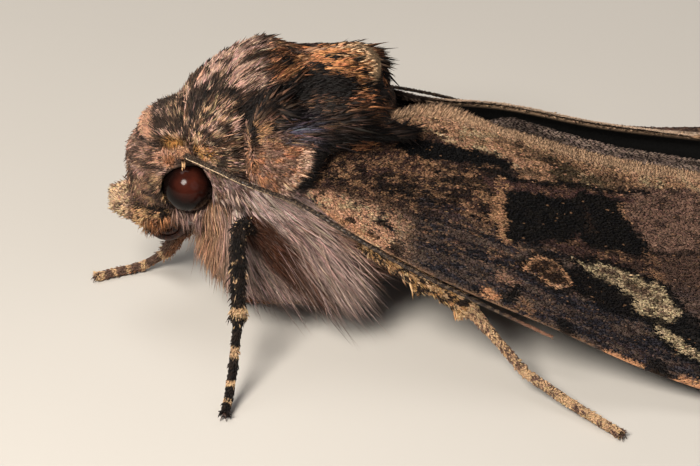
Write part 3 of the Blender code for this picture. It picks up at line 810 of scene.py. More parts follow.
def makeHairs(name, hairs, finish):
    # long curved hairs: a root, two rings of three points and a tip
    root, mid, tip = hairs["root"], hairs["mid"], hairs["tip"]
    keep = keepClear(np.stack([mid, tip], 1)).all(1)
    root, mid, tip = root[keep], mid[keep], tip[keep]
    width = hairs["width"][keep][:, None]
    rings = []
    for f, thick in ((0.25, 1.0), (0.65, 0.8)):
        centre = root * (1 - f) ** 2 + mid * 2 * f * (1 - f) + tip * f * f
        way = unit((mid - root) * (1 - f) + (tip - mid) * f)
        across = unit(np.cross(way, (0.31, 0.22, 0.92)))
        other = np.cross(way, across)
        for k in range(3):
            turn = 2 * math.pi * k / 3
            rings.append(centre + (across * math.cos(turn) + other * math.sin(turn)) * width * thick / 2)
    verts = np.stack([root, *rings, tip], 1)
    faces = [(0, 2, 1), (0, 3, 2), (0, 1, 3), (4, 5, 7), (5, 6, 7), (6, 4, 7)]
    for k in range(3):
        j = (k + 1) % 3
        faces += [(1 + k, 1 + j, 4 + j), (1 + k, 4 + j, 4 + k)]
    share = np.array([0, 0.25, 0.25, 0.25, 0.65, 0.65, 0.65, 1])[None, :, None]
    tint = hairs["tint"][keep][:, None] * (1 - share) + hairs["tipTint"][keep][:, None] * share
    corners = [(0, 0), (-0.5, 0.3), (0, 0.3), (0.5, 0.3), (-0.5, 0.7), (0, 0.7), (0.5, 0.7), (0, 1)]
    addCoat(name, verts, faces, tint, hairs["place"][keep], corners, finish, True)


def capped(tint, top):
    # a colour no brighter than the top, its hue kept
    return tint / np.maximum(tint.max(1, keepdims=True) / top, 1)


def vary(draw, tint, amount):
    shade = np.exp(draw.normal(0, amount, (len(tint), 1)))
    return tint * shade * np.exp(draw.normal(0, amount * 0.15, tint.shape))


def mirrored(p, way):
    # a direction given for the left side, turned over for the right
    way = np.broadcast_to(np.asarray(way, float), p.shape).copy()
    way[:, 0] *= np.sign(p[:, 0])
    return way


def awayFromEye(p, way):
    # hair near an eye lies away from it
    fromEye = leftSide(p) - eyeMiddle
    push = ease(np.linalg.norm(fromEye, axis=1), 1.5, 0.95)[:, None]
    fromEye = fromEye - eyeOut * dot(fromEye, eyeOut)
    fromEye[:, 0] *= np.sign(p[:, 0])
    return way + unit(fromEye) * push * 1.5


tuftBasics = {"riseSpread": 7, "stray": 0.15, "vary": 0.35, "shoulder": 0.5, "bend": 0.08, "droop": 0.0,
              "comb": 9.0, "rootDark": 0.5, "tipLight": 1.3, "unroll": bodyPlace}


def patchOf(draw, parts, look, where=None):
    # one kind of tuft over some parts of the body
    k = {**tuftBasics, **look}
    p, normal = scatter(parts, k["perSquare"], draw, where)
    way = k["way"](p) if callable(k["way"]) else mirrored(p, k["way"])
    way = awayFromEye(p, unit(way))
    lie = laidAlong(normal, way, draw.normal(k["rise"], k["riseSpread"], len(p)), draw, k["stray"])
    part = np.full(len(p), partNames.index(parts[0])) if len(parts) == 1 else legPart(p)
    size = np.exp(draw.normal(0, 0.22, len(p)))
    shown = p + lie * (k["length"] * size * 0.6)[:, None] + draw.normal(0, 0.03, p.shape)
    tint = vary(draw, bodyTint(shown, part), k["vary"])
    return {"root": p, "normal": normal, "lie": lie, "length": k["length"] * size,
            "width": k["width"] * np.exp(draw.normal(0, 0.2, len(p))), "shoulder": k["shoulder"],
            "bend": k["bend"], "droop": k["droop"], "comb": np.full(len(p), k["comb"]),
            "tint": tint * k["rootDark"], "tipTint": capped(tint * k["tipLight"], 0.62),
            "place": k["unroll"](p)}


def legPart(p):
    share = legPlace(p)[2]
    thigh, shin, foot = (partNames.index(name) for name in ("thigh", "shin", "foot"))
    return np.where(share < 0, thigh, np.where(share < 1, shin, foot))


def joined(*groups):
    # several kinds of tuft as one
    def rows(group, key):
        value = group[key]
        return value if np.ndim(value) else np.full((len(group["root"]), 1), value)

    return {key: np.concatenate([rows(group, key) for group in groups]) for key in groups[0]}


def faceWay(p):
    # the face's hair fans out from over the eye
    way = unit(leftSide(p) - (1.25, -0.15, 6.85))
    return mirrored(p, over(way, (0.45, -0.5, -0.65), ease(p[:, 2], 6.35, 5.9)))


headLooks = {
    "base": {"perSquare": 750, "length": 0.2, "width": 0.034, "rise": 26, "stray": 0.25, "vary": 0.3,
             "bend": 0.1, "way": (0.35, 0.35, -0.8), "comb": 0.25},
    "frons": {"perSquare": 1300, "length": 0.28, "width": 0.03, "rise": 30, "stray": 0.16, "vary": 0.4,
              "shoulder": 0.55, "way": faceWay, "comb": 0.26, "rootDark": 0.35, "tipLight": 1.55},
    "vertex": {"perSquare": 1600, "length": 0.4, "width": 0.026, "rise": 34, "stray": 0.14, "vary": 0.4,
               "way": faceWay, "comb": 0.3, "rootDark": 0.35, "tipLight": 1.5},
    "palp": {"perSquare": 1250, "length": 0.2, "width": 0.036, "rise": 28, "stray": 0.25,
             "shoulder": 0.6, "bend": 0.1, "way": (0.05, -1, -0.1)},
    "palpTip": {"perSquare": 1500, "length": 0.24, "width": 0.054, "rise": 42, "stray": 0.35, "vary": 0.4,
                "shoulder": 0.7, "bend": 0.05, "way": (0.05, -1, 0.1)},
    "beard": {"perSquare": 650, "length": 0.46, "width": 0.028, "rise": 35, "stray": 0.2, "vary": 0.3,
              "shoulder": 0.4, "bend": 0.05, "way": (0.1, 0.1, -1)},
    "throat": {"perSquare": 900, "length": 0.7, "width": 0.026, "rise": 38, "stray": 0.2,
               "shoulder": 0.4, "bend": 0.05, "way": (0.1, 0.5, -1)},
}
headPlaces = {  # the part each look covers and where on it
    "base": ("head", None),
    "frons": ("head", lambda p: (p[:, 1] < -0.75) & (p[:, 2] < 7.0) & (p[:, 2] > 4.7)),
    "vertex": ("head", lambda p: (p[:, 2] > 7.08) & (p[:, 1] < 0.2)),
    "palp": ("palp", None),
    "palpTip": ("palp", lambda p: p[:, 1] < -1.8),
    "beard": ("palp", lambda p: (p[:, 1] > -1.5) & (p[:, 2] < 4.2)),
    "throat": ("head", lambda p: (p[:, 1] > -0.5) & (p[:, 2] < 5.0)),
}


def coatHead():
    draw = np.random.default_rng(11)
    groups = [patchOf(draw, [part], headLooks[name], where) for name, (part, where) in headPlaces.items()]
    makeTufts("coat_head", joined(*groups), "coat", draw)


def collarWay(p):
    # the collar's hair fans out from the feeler's root
    q = unit(leftSide(p) - antennaRoot)
    way = q * 0.9 + np.array([0, 0.5, 0.15])
    return mirrored(p, over(way, (0.1, 0.8, -0.6), ease(p[:, 2], 6.9, 6.3)))


collarLooks = {
    "under": {"perSquare": 900, "length": 0.34, "width": 0.036, "rise": 26, "way": collarWay,
              "rootDark": 0.35, "comb": 0.27},
    "long": {"perSquare": 850, "length": 0.5, "width": 0.028, "rise": 24, "stray": 0.18, "vary": 0.5,
             "shoulder": 0.45, "way": collarWay, "rootDark": 0.35, "tipLight": 1.5, "droop": 0.08,
             "comb": 0.27},
}


def coatCollar():
    draw = np.random.default_rng(12)
    groups = [patchOf(draw, ["collar"], look) for look in collarLooks.values()]
    makeTufts("coat_collar", joined(*groups), "coat", draw)


def thoraxWay(p):
    y, z = p[:, 1], p[:, 2]
    front = ease(y, 4.6, 2.8)[:, None] * ease(z, 7.9, 8.5)[:, None]
    rear = ease(y, 5.6, 6.6)[:, None]
    way = np.array([0.05, 1, 0.1]) + np.array([-0.05, -0.1, 0.6]) * front + np.array([0, 0, -0.3]) * rear
    return mirrored(p, over(way, (0.1, 0.85, -0.5), ease(z, 7.0, 6.4)))


thoraxLooks = {
    "under": {"perSquare": 360, "length": 0.45, "width": 0.042, "rise": 13, "riseSpread": 5, "bend": 0.06,
              "way": thoraxWay, "droop": 0.06},
    "long": {"perSquare": 380, "length": 0.72, "width": 0.03, "rise": 9, "riseSpread": 4, "vary": 0.45,
             "shoulder": 0.4, "bend": 0.07, "way": thoraxWay, "droop": 0.1},
    "crest": {"perSquare": 700, "length": 0.36, "width": 0.03, "rise": 20, "riseSpread": 8, "stray": 0.22,
              "vary": 0.45, "bend": 0.06, "way": thoraxWay, "tipLight": 1.5},
    "fan": {"perSquare": 700, "length": 0.46, "width": 0.038, "rise": 14, "riseSpread": 5, "stray": 0.12,
            "shoulder": 0.6, "bend": 0.06, "way": thoraxWay, "tipLight": 1.6, "droop": 0.05},
}
thoraxComb = ((2.8, 3.4, 4.8, 5.2, 5.6, 6.2, 6.7), (0.29, 0.19, 0.2, 0.38, 0.34, 0.18, 0.14))  # y, depth


def trimmed(group, draw):
    # the fan's hair ends at its pale rim, whose tips are painted brighter than their cream as painted light,
    # and the black tuft stands behind it
    root = group["root"]
    before = pastRim(root)
    high = root[:, 2] > 8.8
    tip = root + group["lie"] * group["length"][:, None]
    beyond = np.maximum(pastRim(tip), 0) * (before < 0) * high
    group["length"] = group["length"] * np.clip(1 - beyond / np.maximum(group["length"], 0.01), 0.15, 1)
    rear = before > 0
    group["length"][rear] *= 0.25 + 0.45 * ease(root[rear, 2], 8.9, 9.4)
    tip = root + group["lie"] * group["length"][:, None]
    atRim = np.exp(-((pastRim(tip) + 0.02) / 0.13) ** 2) * ~rear * ease(tip[:, 2], 9.0, 9.2)
    atRim = atRim * (draw.random(len(tip)) < 0.9)
    # painted light: the rim's hair tips get a cream brighter than their own
    group["tipTint"] = over(group["tipTint"], bodyPaint["fanRimLit"], atRim)
    group["tint"] = over(group["tint"], bodyPaint["fanHair"], atRim * 0.5)
    pale = rear & (draw.random(len(tip)) < 0.25) & (tip[:, 2] > 9.0)
    group["tipTint"][pale] = bodyPaint["greyBuff"]


def coatThorax():
    draw = np.random.default_rng(13)
    crest = patchOf(draw, ["thorax"], thoraxLooks["crest"], lambda p: (p[:, 1] < 3.3) & (p[:, 2] > 8.6))
    fan = patchOf(draw, ["thorax"], thoraxLooks["fan"], lambda p: (p[:, 1] > 4.6) & (p[:, 2] > 8.6))
    under, long = (patchOf(draw, ["thorax"], thoraxLooks[name],
                           lambda p: (p[:, 2] > 6.9) | (p[:, 1] < 4.0)) for name in ("under", "long"))
    long["length"] *= 1 - 0.65 * ease(long["root"][:, 1], 4.9, 6.0)
    under["length"] *= 1 - 0.45 * ease(under["root"][:, 1], 5.7, 6.4)
    for group in (under, long, fan):
        trimmed(group, draw)
    for group in (under, long, crest, fan):
        group["comb"] = np.interp(group["root"][:, 1], *thoraxComb)
    makeTufts("coat_thorax", joined(under, long, crest, fan), "coat", draw)


def tegulaWay(p):
    # from the shoulder the hair fans out, and further back it lies along the wing
    q = leftSide(p)
    fan = unit(q - (2.7, 1.4, 7.9))
    back = ease(q[:, 1], 2.6, 4.0)[:, None]
    return mirrored(p, fan * (1 - back) + np.array([0.0, 1.0, -0.2]) * (0.3 + back))


tegulaLooks = {
    "under": {"perSquare": 600, "length": 0.36, "width": 0.038, "rise": 16, "stray": 0.13, "vary": 0.3,
              "way": tegulaWay},
    "long": {"perSquare": 480, "length": 1.0, "width": 0.028, "rise": 8, "riseSpread": 5, "stray": 0.12,
             "vary": 0.5, "shoulder": 0.4, "bend": 0.05, "way": tegulaWay, "droop": 0.04},
    "lobe": {"perSquare": 1250, "length": 0.2, "width": 0.062, "rise": 20, "stray": 0.25, "vary": 0.32,
             "shoulder": 0.75, "bend": 0.1, "way": tegulaWay, "tipLight": 1.35},
}


def coatTegulae():
    draw = np.random.default_rng(14)
    under = patchOf(draw, ["tegula"], tegulaLooks["under"])
    long = patchOf(draw, ["tegula"], tegulaLooks["long"],
                   lambda p: ((p[:, 1] > 3.0) & (p[:, 2] > 8.0)) | (p[:, 2] > 8.5) | (p[:, 1] > 4.3))
    lobe = patchOf(draw, ["tegula"], tegulaLooks["lobe"], lambda p: (p[:, 1] < 4.2) & (p[:, 2] < 8.25))
    for group in (under, long):
        x, y, z = group["root"].T
        rear = ease(y, 5.0, 6.0) * np.maximum(ease(z, 8.0, 8.4), x < 0)
        group["length"] *= 1 - (0.78 - 0.52 * ease(z, 8.1, 8.4) * (x < 0)) * rear
        pale = (x < 0) & (y > 5.8) & (z > 8.1) & (draw.random(len(x)) < 0.22)
        group["tipTint"][pale] = bodyPaint["greyBuff"]
        onEnd = dot(group["normal"], unit(tegulaWay(group["root"])))[:, 0]
        group["length"] *= 1 - 0.75 * ease(onEnd, 0.78, 0.93) * ease(y, 4.5, 5.5) * ease(z, 8.4, 8.0)
        group["comb"][(z > 8.0) & (y < 4.6)] = 0.17
        group["comb"][z > 9.0] = 0.12
    makeTufts("coat_tegulae", joined(under, long, lobe), "coat", draw)


breastLook = {"perSquare": 128, "length": 1.2, "width": 0.02, "rise": 11, "sag": 0.14}
broomLook = {"count": 1300, "length": 2.0, "middle": (2.9, 4.15, 3.55), "size": (0.3, 0.5, 0.5),
             "way": (0.02, 0.58, -0.7)}


def breastWay(p):
    # hair falls from the flanks, back and down, and forward of the legs straight down
    y, z = p[:, 1], p[:, 2]
    above = fromHollow(p)
    way = over(np.array([[0.05, 0.72, -0.66]]), (0.12, 0.92, -0.42), ease(above, 0.4, 1.8))
    way = over(way, (0.05, 0.62, -0.74), ease(above, -0.3, -0.8))
    chin = (ease(y, 0.8, 0.3) * ease(z, 3.2, 3.7))[:, None]
    way = over(way, np.array([0.15, 0.05, -1.0]) - np.array([0, 0.45, 0]) * chin, ease(y, 1.9, 0.9))
    way = over(way, (0.0, 1.0, -0.12), ease(y, 4.6, 5.6))
    return mirrored(p, over(way, (0.0, 1.0, -0.1), ease(z, 1.6, 0.8)))


def coatBreast():
    draw = np.random.default_rng(15)
    p, normal = scatter(["breast"], breastLook["perSquare"], draw)
    flank, flankNormal = scatter(["thorax", "collar", "tegula"], breastLook["perSquare"] * 1.6, draw,
                                 lambda q: (q[:, 2] < 6.5) & (q[:, 1] < 5.0) & (q[:, 1] > 0.9))
    k = broomLook
    broom = draw.normal(0, 1, (k["count"], 3)) * k["size"] + k["middle"]
    broom[:, 0] *= np.where(draw.random(k["count"]) < 0.62, 1, -1)
    found = [skinTree.find_nearest(Vector(v)) for v in broom]
    broom = np.array([hit[0] for hit in found])
    broomNormal = skinNormals[skinTriangles[[hit[2] for hit in found], 0]]
    isBroom = np.repeat([0, 0, 1], [len(p), len(flank), len(broom)]).astype(bool)
    p = np.vstack([p, flank, broom])
    normal = np.vstack([normal, flankNormal, broomNormal])
    clump = stacked([noise(p, (0.35, 0.6, 0.6), 31 + k) - 0.5 for k in range(3)])
    way = breastWay(p) + clump * 0.75
    way[isBroom] = mirrored(p[isBroom], k["way"]) + clump[isBroom] * 0.5
    way = awayFromEye(p, unit(way))
    lie = laidAlong(normal, way, draw.normal(breastLook["rise"], 7, len(p)), draw, 0.13)
    length = breastLook["length"] * np.exp(draw.normal(0, 0.25, len(p)))
    length *= (0.5 + 0.5 * ease(p[:, 2], 1.6, 3.5)) * (0.6 + 0.4 * ease(p[:, 1], 0.6, 2.2))
    length *= 1 - 0.6 * ease(np.abs(fromHollow(p) - 0.2), 0.8, 0.4) * ease(p[:, 1], 1.4, 1.8)
    length[isBroom] = k["length"] * np.exp(draw.normal(-0.15, 0.22, isBroom.sum()))
    length = length[:, None]
    mid = p + lie * length * 0.5 + normal * length * 0.05
    sag = breastWay(p) * 0.15 - np.array([0, 0, breastLook["sag"]])
    sag[isBroom] = mirrored(p[isBroom], (0.1, 0.1, -0.22))
    tip = p + lie * length + sag * length * 0.6
    shown = p + (tip - p) * 0.4
    tint = vary(draw, breastTint(np.where(isBroom[:, None], p, shown)), 0.42)
    light = 0.45 * ease(noise(p[isBroom], 0.25, 23), 0.4, 0.6)
    tint[isBroom] = vary(draw, over(tint[isBroom], bodyPaint["silverHair"], light), 0.25)
    hairs = {"root": p - normal * 0.03, "mid": mid, "tip": tip,
             "width": breastLook["width"] * np.exp(draw.normal(0, 0.2, len(p))),
             "tint": tint * 0.58, "tipTint": capped(tint * 1.42, 0.85), "place": bodyPlace(p)}
    makeHairs("coat_breast", hairs, "silk")


abdomenLook = {"perSquare": 130, "length": 0.5, "width": 0.07, "rise": 13, "stray": 0.12, "vary": 0.25,
               "bend": 0.06, "way": (0.0, 1, 0.0)}


def coatAbdomen():
    draw = np.random.default_rng(16)
    group = patchOf(draw, ["abdomen"], abdomenLook)
    makeTufts("coat_abdomen", group, "coat", draw)


legLooks = {
    "scales": {"perSquare": 620, "length": 0.14, "width": 0.045, "rise": 14, "stray": 0.12, "vary": 0.25,
               "shoulder": 0.6, "bend": 0.12, "way": lambda p: legPlace(p)[1], "unroll": legUnroll},
    "hair": {"perSquare": 90, "length": 0.28, "width": 0.028, "rise": 26, "stray": 0.2, "vary": 0.3,
             "way": lambda p: legPlace(p)[1], "unroll": legUnroll},
}


def coatLegs():
    draw = np.random.default_rng(17)
    groups = [patchOf(draw, ["thigh", "shin", "foot"], legLooks["scales"]),
              patchOf(draw, ["thigh", "shin"], legLooks["hair"])]
    makeTufts("coat_legs", joined(*groups), "coat", draw)


coatHead()
coatCollar()
coatThorax()
coatTegulae()
coatBreast()
coatAbdomen()
coatLegs()

wingShape = {  # edges from the root out
    "front": [(3.2, 3.4, 6.7), (4.2, 5.17, 5.45), (5.45, 8.3, 4.1), (6.5, 11.8, 2.8),
              (7.42, 15.6, 1.27), (9.2, 20.8, 0.42)],
    "inner": [(3.0, 3.6, 7.0), (1.8, 5.6, 7.75), (0.5, 8.1, 7.7), (0.95, 10.8, 7.05),
              (1.2, 14.2, 6.0), (1.3, 18.2, 5.2)],
    "swell": 1.1, "tipRound": 0.9, "cornerRound": 0.6, "crown": 0.2, "length": 17.5, "width": 7.5,
}
wingSheets = {  # the part of the wing each sheet covers, its depth below the solid's top, and its scales
    "fore": {"span": (0.04, 0.97), "chord": (0.004, 0.996), "depth": 0.1, "thick": 0.08, "grid": (120, 64),
             "scaleSpan": (0.06, 0.95), "scaleChord": (0.05, 0.96), "slot": "wing_scales"},
    "hind": {"span": (0.14, 0.86), "chord": (0.25, 0.9), "depth": 0.68, "thick": 0.06, "grid": (60, 34),
             "scaleSpan": (0.14, 0.86), "scaleChord": (0.25, 0.9), "slot": "hindwing_scales"},
}


def wingPoint(s, t):
    # s from the root to the outer edge, t from the front edge to the inner one
    w = wingShape
    point = along(w["front"], s) * (1 - t[..., None]) + along(w["inner"], s) * t[..., None]
    swell = np.sin(math.pi * t)
    point[..., 1] += w["swell"] * swell * s ** 6
    point[..., 1] -= (w["tipRound"] * (1 - t) ** 5 + w["cornerRound"] * t ** 5) * s ** 8
    return point + np.array([0.55, 0, 0.83]) * (w["crown"] * swell * (1 - t) * 2 * s)[..., None]


def wingFrame(s, t, step=0.004):
    # the point, the upward normal, and the ways to the outer and to the inner edge
    out = wingPoint(np.minimum(s + step, 1), t) - wingPoint(np.maximum(s - step, 0), t)
    inward = wingPoint(s, np.minimum(t + step, 1)) - wingPoint(s, np.maximum(t - step, 0))
    normal = unit(np.cross(out, inward))
    normal *= np.where(normal[..., 2:] > 0, 1, -1)
    return wingPoint(s, t), normal, unit(out), unit(inward)


def wingPleats(s, t):
    # shallow hollows between the veins, deepest in mid wing
    return 0.05 * (0.5 - 0.5 * np.cos(2 * math.pi * 7 * (t + 0.08 * s))) * np.sin(math.pi * np.clip(s, 0, 1))


wingPaint = {
    "ground": paint(60, 44, 36), "dark": paint(32, 24, 21), "grey": paint(78, 65, 58),
    "slate": paint(46, 45, 52), "fleck": paint(146, 110, 82), "pinkBuff": paint(170, 130, 104),
    "buff": paint(140, 108, 82), "black": paint(8, 7, 6), "block": paint(17, 14, 11),
    "purple": paint(66, 46, 42), "outer": paint(104, 80, 68), "orange": paint(184, 134, 98),
    "cream": paint(164, 146, 116), "spot": paint(40, 28, 21), "olive": paint(60, 50, 36),
    "edge": paint(118, 90, 68), "under": paint(60, 48, 40), "fold": paint(96, 82, 74),
    "rim": paint(168, 148, 130), "edgeHair": paint(160, 132, 106),
}
wingMarks = {  # places as shares of the wing: (from the root, from the front edge)
    "stripLine": [(0.2, 0.93), (0.38, 0.87), (0.43, 0.83), (0.5, 0.83), (0.54, 0.84), (0.575, 0.83),
                  (0.595, 0.785), (0.625, 0.775), (0.67, 0.79), (0.72, 0.82), (0.77, 0.85), (0.83, 0.88),
                  (0.925, 0.92), (1.0, 0.92)],
    "basalStreak": [(0.3, 0.8), (0.36, 0.83), (0.43, 0.815), (0.49, 0.83), (0.54, 0.83), (0.58, 0.82),
                    (0.565, 0.8), (0.52, 0.77), (0.475, 0.75), (0.425, 0.73), (0.36, 0.72)],
    "purple": [(0.5, 0.69), (0.6, 0.74), (0.7, 0.79), (0.8, 0.83), (0.79, 0.78), (0.7, 0.735), (0.62, 0.69),
               (0.54, 0.63)],
    "darkLine": [(0.5, 0.735), (0.545, 0.75), (0.585, 0.752), (0.625, 0.762), (0.67, 0.795), (0.72, 0.82),
                 (0.77, 0.845), (0.84, 0.87)],
    "wedge": [(0.553, 0.655), (0.62, 0.7), (0.695, 0.735), (0.7, 0.62), (0.672, 0.53), (0.61, 0.455),
              (0.535, 0.385), (0.54, 0.52)],
    "wedge2": [(0.7, 0.755), (0.735, 0.79), (0.778, 0.8), (0.785, 0.7), (0.8, 0.575), (0.75, 0.53),
               (0.7, 0.5), (0.69, 0.62)],
    "leftRim": [(0.552, 0.72), (0.545, 0.6), (0.537, 0.5), (0.53, 0.37)],
    "orbicular": [(0.555, 0.26), (0.575, 0.31), (0.595, 0.35), (0.615, 0.36), (0.63, 0.35), (0.64, 0.32),
                  (0.645, 0.27), (0.63, 0.24), (0.61, 0.22), (0.59, 0.24), (0.57, 0.25)],
    "reniform": [(0.665, 0.405), (0.7, 0.425), (0.745, 0.44), (0.78, 0.43), (0.8, 0.4), (0.815, 0.38),
                 (0.822, 0.33), (0.82, 0.29), (0.815, 0.25), (0.8, 0.23), (0.785, 0.228), (0.77, 0.24),
                 (0.76, 0.27), (0.755, 0.32), (0.735, 0.35), (0.715, 0.36), (0.69, 0.38)],
    "band": [(0.78, 0.222), (0.8, 0.222), (0.815, 0.2), (0.83, 0.18), (0.85, 0.15), (0.9, 0.07),
             (0.88, 0.06), (0.845, 0.11), (0.83, 0.125), (0.81, 0.16), (0.79, 0.19)],
    "shade": [(0.65, 0.36), (0.69, 0.36), (0.73, 0.33), (0.75, 0.3), (0.758, 0.25), (0.765, 0.225),
              (0.74, 0.205), (0.7, 0.21), (0.66, 0.235), (0.645, 0.29)],
    "shade2": [(0.815, 0.34), (0.84, 0.33), (0.865, 0.23), (0.9, 0.16), (0.89, 0.11), (0.845, 0.17),
               (0.822, 0.22)],
    "outerEdge": [(0.79, 1.0), (0.778, 0.78), (0.78, 0.66), (0.79, 0.6), (0.8, 0.5), (0.81, 0.42),
                  (0.84, 0.2), (0.86, 0.0)],
    "veins": [(0.2, 0.3), (0.26, 0.36), (0.34, 0.45), (0.42, 0.55), (0.5, 0.64), (0.58, 0.74),
              (0.66, 0.82)],
    "frontLine": [(0.725, 0.035, 0.02), (0.865, 0.06, 0.034)],
    "frontDark": [(0.3, 0.05), (0.62, 0.03), (0.785, 0.03)],
    "frontPatches": [
        ("orange", 0.9, [(0.455, 0.02), (0.48, 0.075), (0.5, 0.075), (0.505, 0.04), (0.48, 0.02)]),
        ("pinkBuff", 0.45, [(0.495, 0.15), (0.52, 0.2), (0.55, 0.185), (0.52, 0.135)]),
        ("black", 0.95, [(0.505, 0.06), (0.515, 0.105), (0.545, 0.175), (0.548, 0.13), (0.53, 0.07),
                         (0.51, 0.035)]),
        ("edge", 0.8, [(0.52, 0.03), (0.54, 0.085), (0.56, 0.075), (0.56, 0.02)]),
    ],
}


def wingPlane(s, t):
    return stacked([s * wingShape["length"], t * wingShape["width"]])


def mark(name):
    return np.array(wingMarks[name]) * (wingShape["length"], wingShape["width"])


def wingTint(s, t):
    plane = wingPlane(s, t)
    fine = wingPoint(s, t)
    wobble = stacked([noise(plane, 0.3, 41), noise(plane, 0.3, 43)]) - 0.5
    jag = stacked([noise(plane, 0.11, 64), noise(plane, 0.11, 65)]) - 0.5
    plane = plane + wobble * 0.22 + jag * 0.12
    streak = noise(plane, (1.5, 0.11), 44) * 0.5 + noise(plane, (0.45, 0.055), 45) * 0.5
    cloud = noise(plane, (1.1, 0.6), 46)
    grain = noise(fine, 0.14, 66)
    tint, lay = layers(wingPaint, "ground", len(s))
    lay("dark", ease(streak, 0.42, 0.6) * 0.85)
    lay("purple", ease(cloud, 0.5, 0.7) * 0.6)
    lay("fleck", ease(grain, 0.66, 0.74) * ease(t, 0.3, 0.4) * 0.5)
    # the front third, grey and slate, the slate's bluish tone partly painted sheen
    costal = ease(t - 0.1 * ease(s, 0.25, 0.5) + 0.02 * wobble[:, 0], 0.36, 0.26)
    lay("dark", costal * 0.5)
    lay("grey", costal * ease(streak, 0.58, 0.4) * 0.9)
    lay("slate", costal * ease(streak, 0.52, 0.62) * 0.8)
    lay("black", costal * ease(streak, 0.62, 0.7) * 0.7)
    # a dark line along the main vein, with bluish painted sheen on its paler parts
    veinLineWithSheen = np.exp(-((t - 0.43 - 0.1 * (0.6 - s)) / 0.045) ** 2)
    veinLineWithSheen = veinLineWithSheen * ease(s, 0.26, 0.34) * ease(s, 0.66, 0.58)
    lay("black", veinLineWithSheen * ease(streak, 0.44, 0.54) * 0.9)
    lay("slate", veinLineWithSheen * ease(streak, 0.44, 0.36) * 0.8)
    # pale flecks on the inner half
    basal = ease(s, 0.555, 0.53) * ease(t, 0.36, 0.46) * ease(t, 0.84, 0.74)
    fleck = noise(plane, (0.42, 0.1), 47) * 0.6 + noise(fine, 0.15, 53) * 0.4
    nearRim = ease(lineReach(mark("leftRim"), plane), 1.6, 0.2)
    lay("fleck", basal * ease(fleck, 0.54, 0.61) * 0.62)
    lay("fleck", basal * nearRim * ease(fleck, 0.46, 0.52) * ease(t, 0.7, 0.62) * 0.8)
    lay("black", basal * ease(noise(fine, (0.2, 0.5, 0.2), 67), 0.64, 0.72) * 0.8)
    for start, end in wingMarks["veins"]:
        vein = start + (end - start) * ease(s, 0.25, 1.0)
        gap = np.abs(t - vein + 0.006 * wobble[:, 0])
        lay("black", ease(gap, 0.012, 0.004) * ease(s, 0.2, 0.35) * 0.6)
        lay("fleck", ease(np.abs(gap - 0.016), 0.009, 0.003) * ease(grain, 0.56, 0.66) * 0.45)
    # the pale patch at the wing's root and the edge beside it
    base = ease(s, 0.35, 0.27) * ease(t, 0.38, 0.28)
    lay("pinkBuff", base * ease(fleck + 0.3 * (cloud - 0.5), 0.26, 0.4))
    lay("cream", base * ease(noise(fine, 0.13, 49), 0.58, 0.68) * 0.6)
    lay("black", base * ease(noise(fine, 0.22, 48), 0.64, 0.7) * 0.9)
    frontLine = ease(np.abs(t - 0.045), 0.05, 0.02) * ease(s, 0.1, 0.13) * ease(s, 0.27, 0.23)
    lay("orange", frontLine * ease(grain, 0.35, 0.5) * 0.55)
    # the brown outer field and the thin rim before it
    outEdge = np.interp(t, *np.array(wingMarks["outerEdge"])[::-1, ::-1].T)
    past = (s - outEdge) * wingShape["length"] + wobble[:, 0] * 0.25 + jag[:, 0] * 0.15
    field = ease(past, -0.04, 0.05) * ease(t, 0.16, 0.3)
    speckle = ease(grain, 0.6, 0.68)
    above = t - 0.568 - 0.6 * (s - 0.81) + 0.01 * wobble[:, 1]
    lay("outer", field * (1 - 0.75 * ease(above, 0.03, -0.01)))
    lay("dark", field * speckle * 0.75)
    lay("black", field * ease(np.abs(above), 0.014, 0.006) * 0.8)
    rim = ease(np.abs(past - 0.08), 0.13, 0.04) * ease(t, 0.34, 0.46) * ease(t, 0.86, 0.8)
    rim = rim * (0.35 + 0.65 * ease(above, -0.02, 0.02))
    lay("fleck", rim * 0.85)
    lay("purple", ease(patchReach(mark("purple"), plane), -0.08, 0.1))
    lowRim = ease(np.abs(patchReach(mark("wedge"), plane) + 0.12), 0.16, 0.05) * ease(t, 0.64, 0.7)
    lay("fleck", lowRim * ease(grain, 0.45, 0.6) * 0.5)
    # the buff strip along the inner edge
    strip = np.interp(s, *np.array(wingMarks["stripLine"]).T)
    inStrip = ease((t - strip) * wingShape["width"] + wobble[:, 1] * 0.3 + jag[:, 1] * 0.3, -0.04, 0.1)
    lay("buff", inStrip)
    lay("pinkBuff", inStrip * ease(streak, 0.5, 0.38) * 0.6)
    lay("ground", inStrip * ease(streak, 0.56, 0.66) * 0.65)
    pale = ease(np.abs((t - strip) * wingShape["width"] - 0.16), 0.16, 0.06)
    pale = pale * ease(s, 0.3, 0.36) * ease(s, 0.62, 0.56)
    lay("cream", pale * ease(grain, 0.4, 0.52) * 0.75)
    lay("cream", inStrip * ease(cloud, 0.34, 0.28) * ease(t, 0.97, 0.93) * ease(grain, 0.4, 0.55) * 0.6)
    olive = ease(s, 0.6, 0.66) * ease(s, 0.82, 0.74) * ease(t, 0.965, 0.93)
    lay("olive", inStrip * olive * ease(noise(fine, (0.2, 0.35, 0.2), 50), 0.4, 0.52) * 0.95)
    lay("black", inStrip * ease(noise(fine, (0.12, 0.3, 0.12), 51), 0.7, 0.76) * 0.85)
    lay("black", ease(patchReach(mark("basalStreak"), plane) + 0.1 * (streak - 0.5), -0.1, 0.02))
    lay("black", ease(lineReach(mark("darkLine"), plane), 0.14, 0.06) * 0.95)
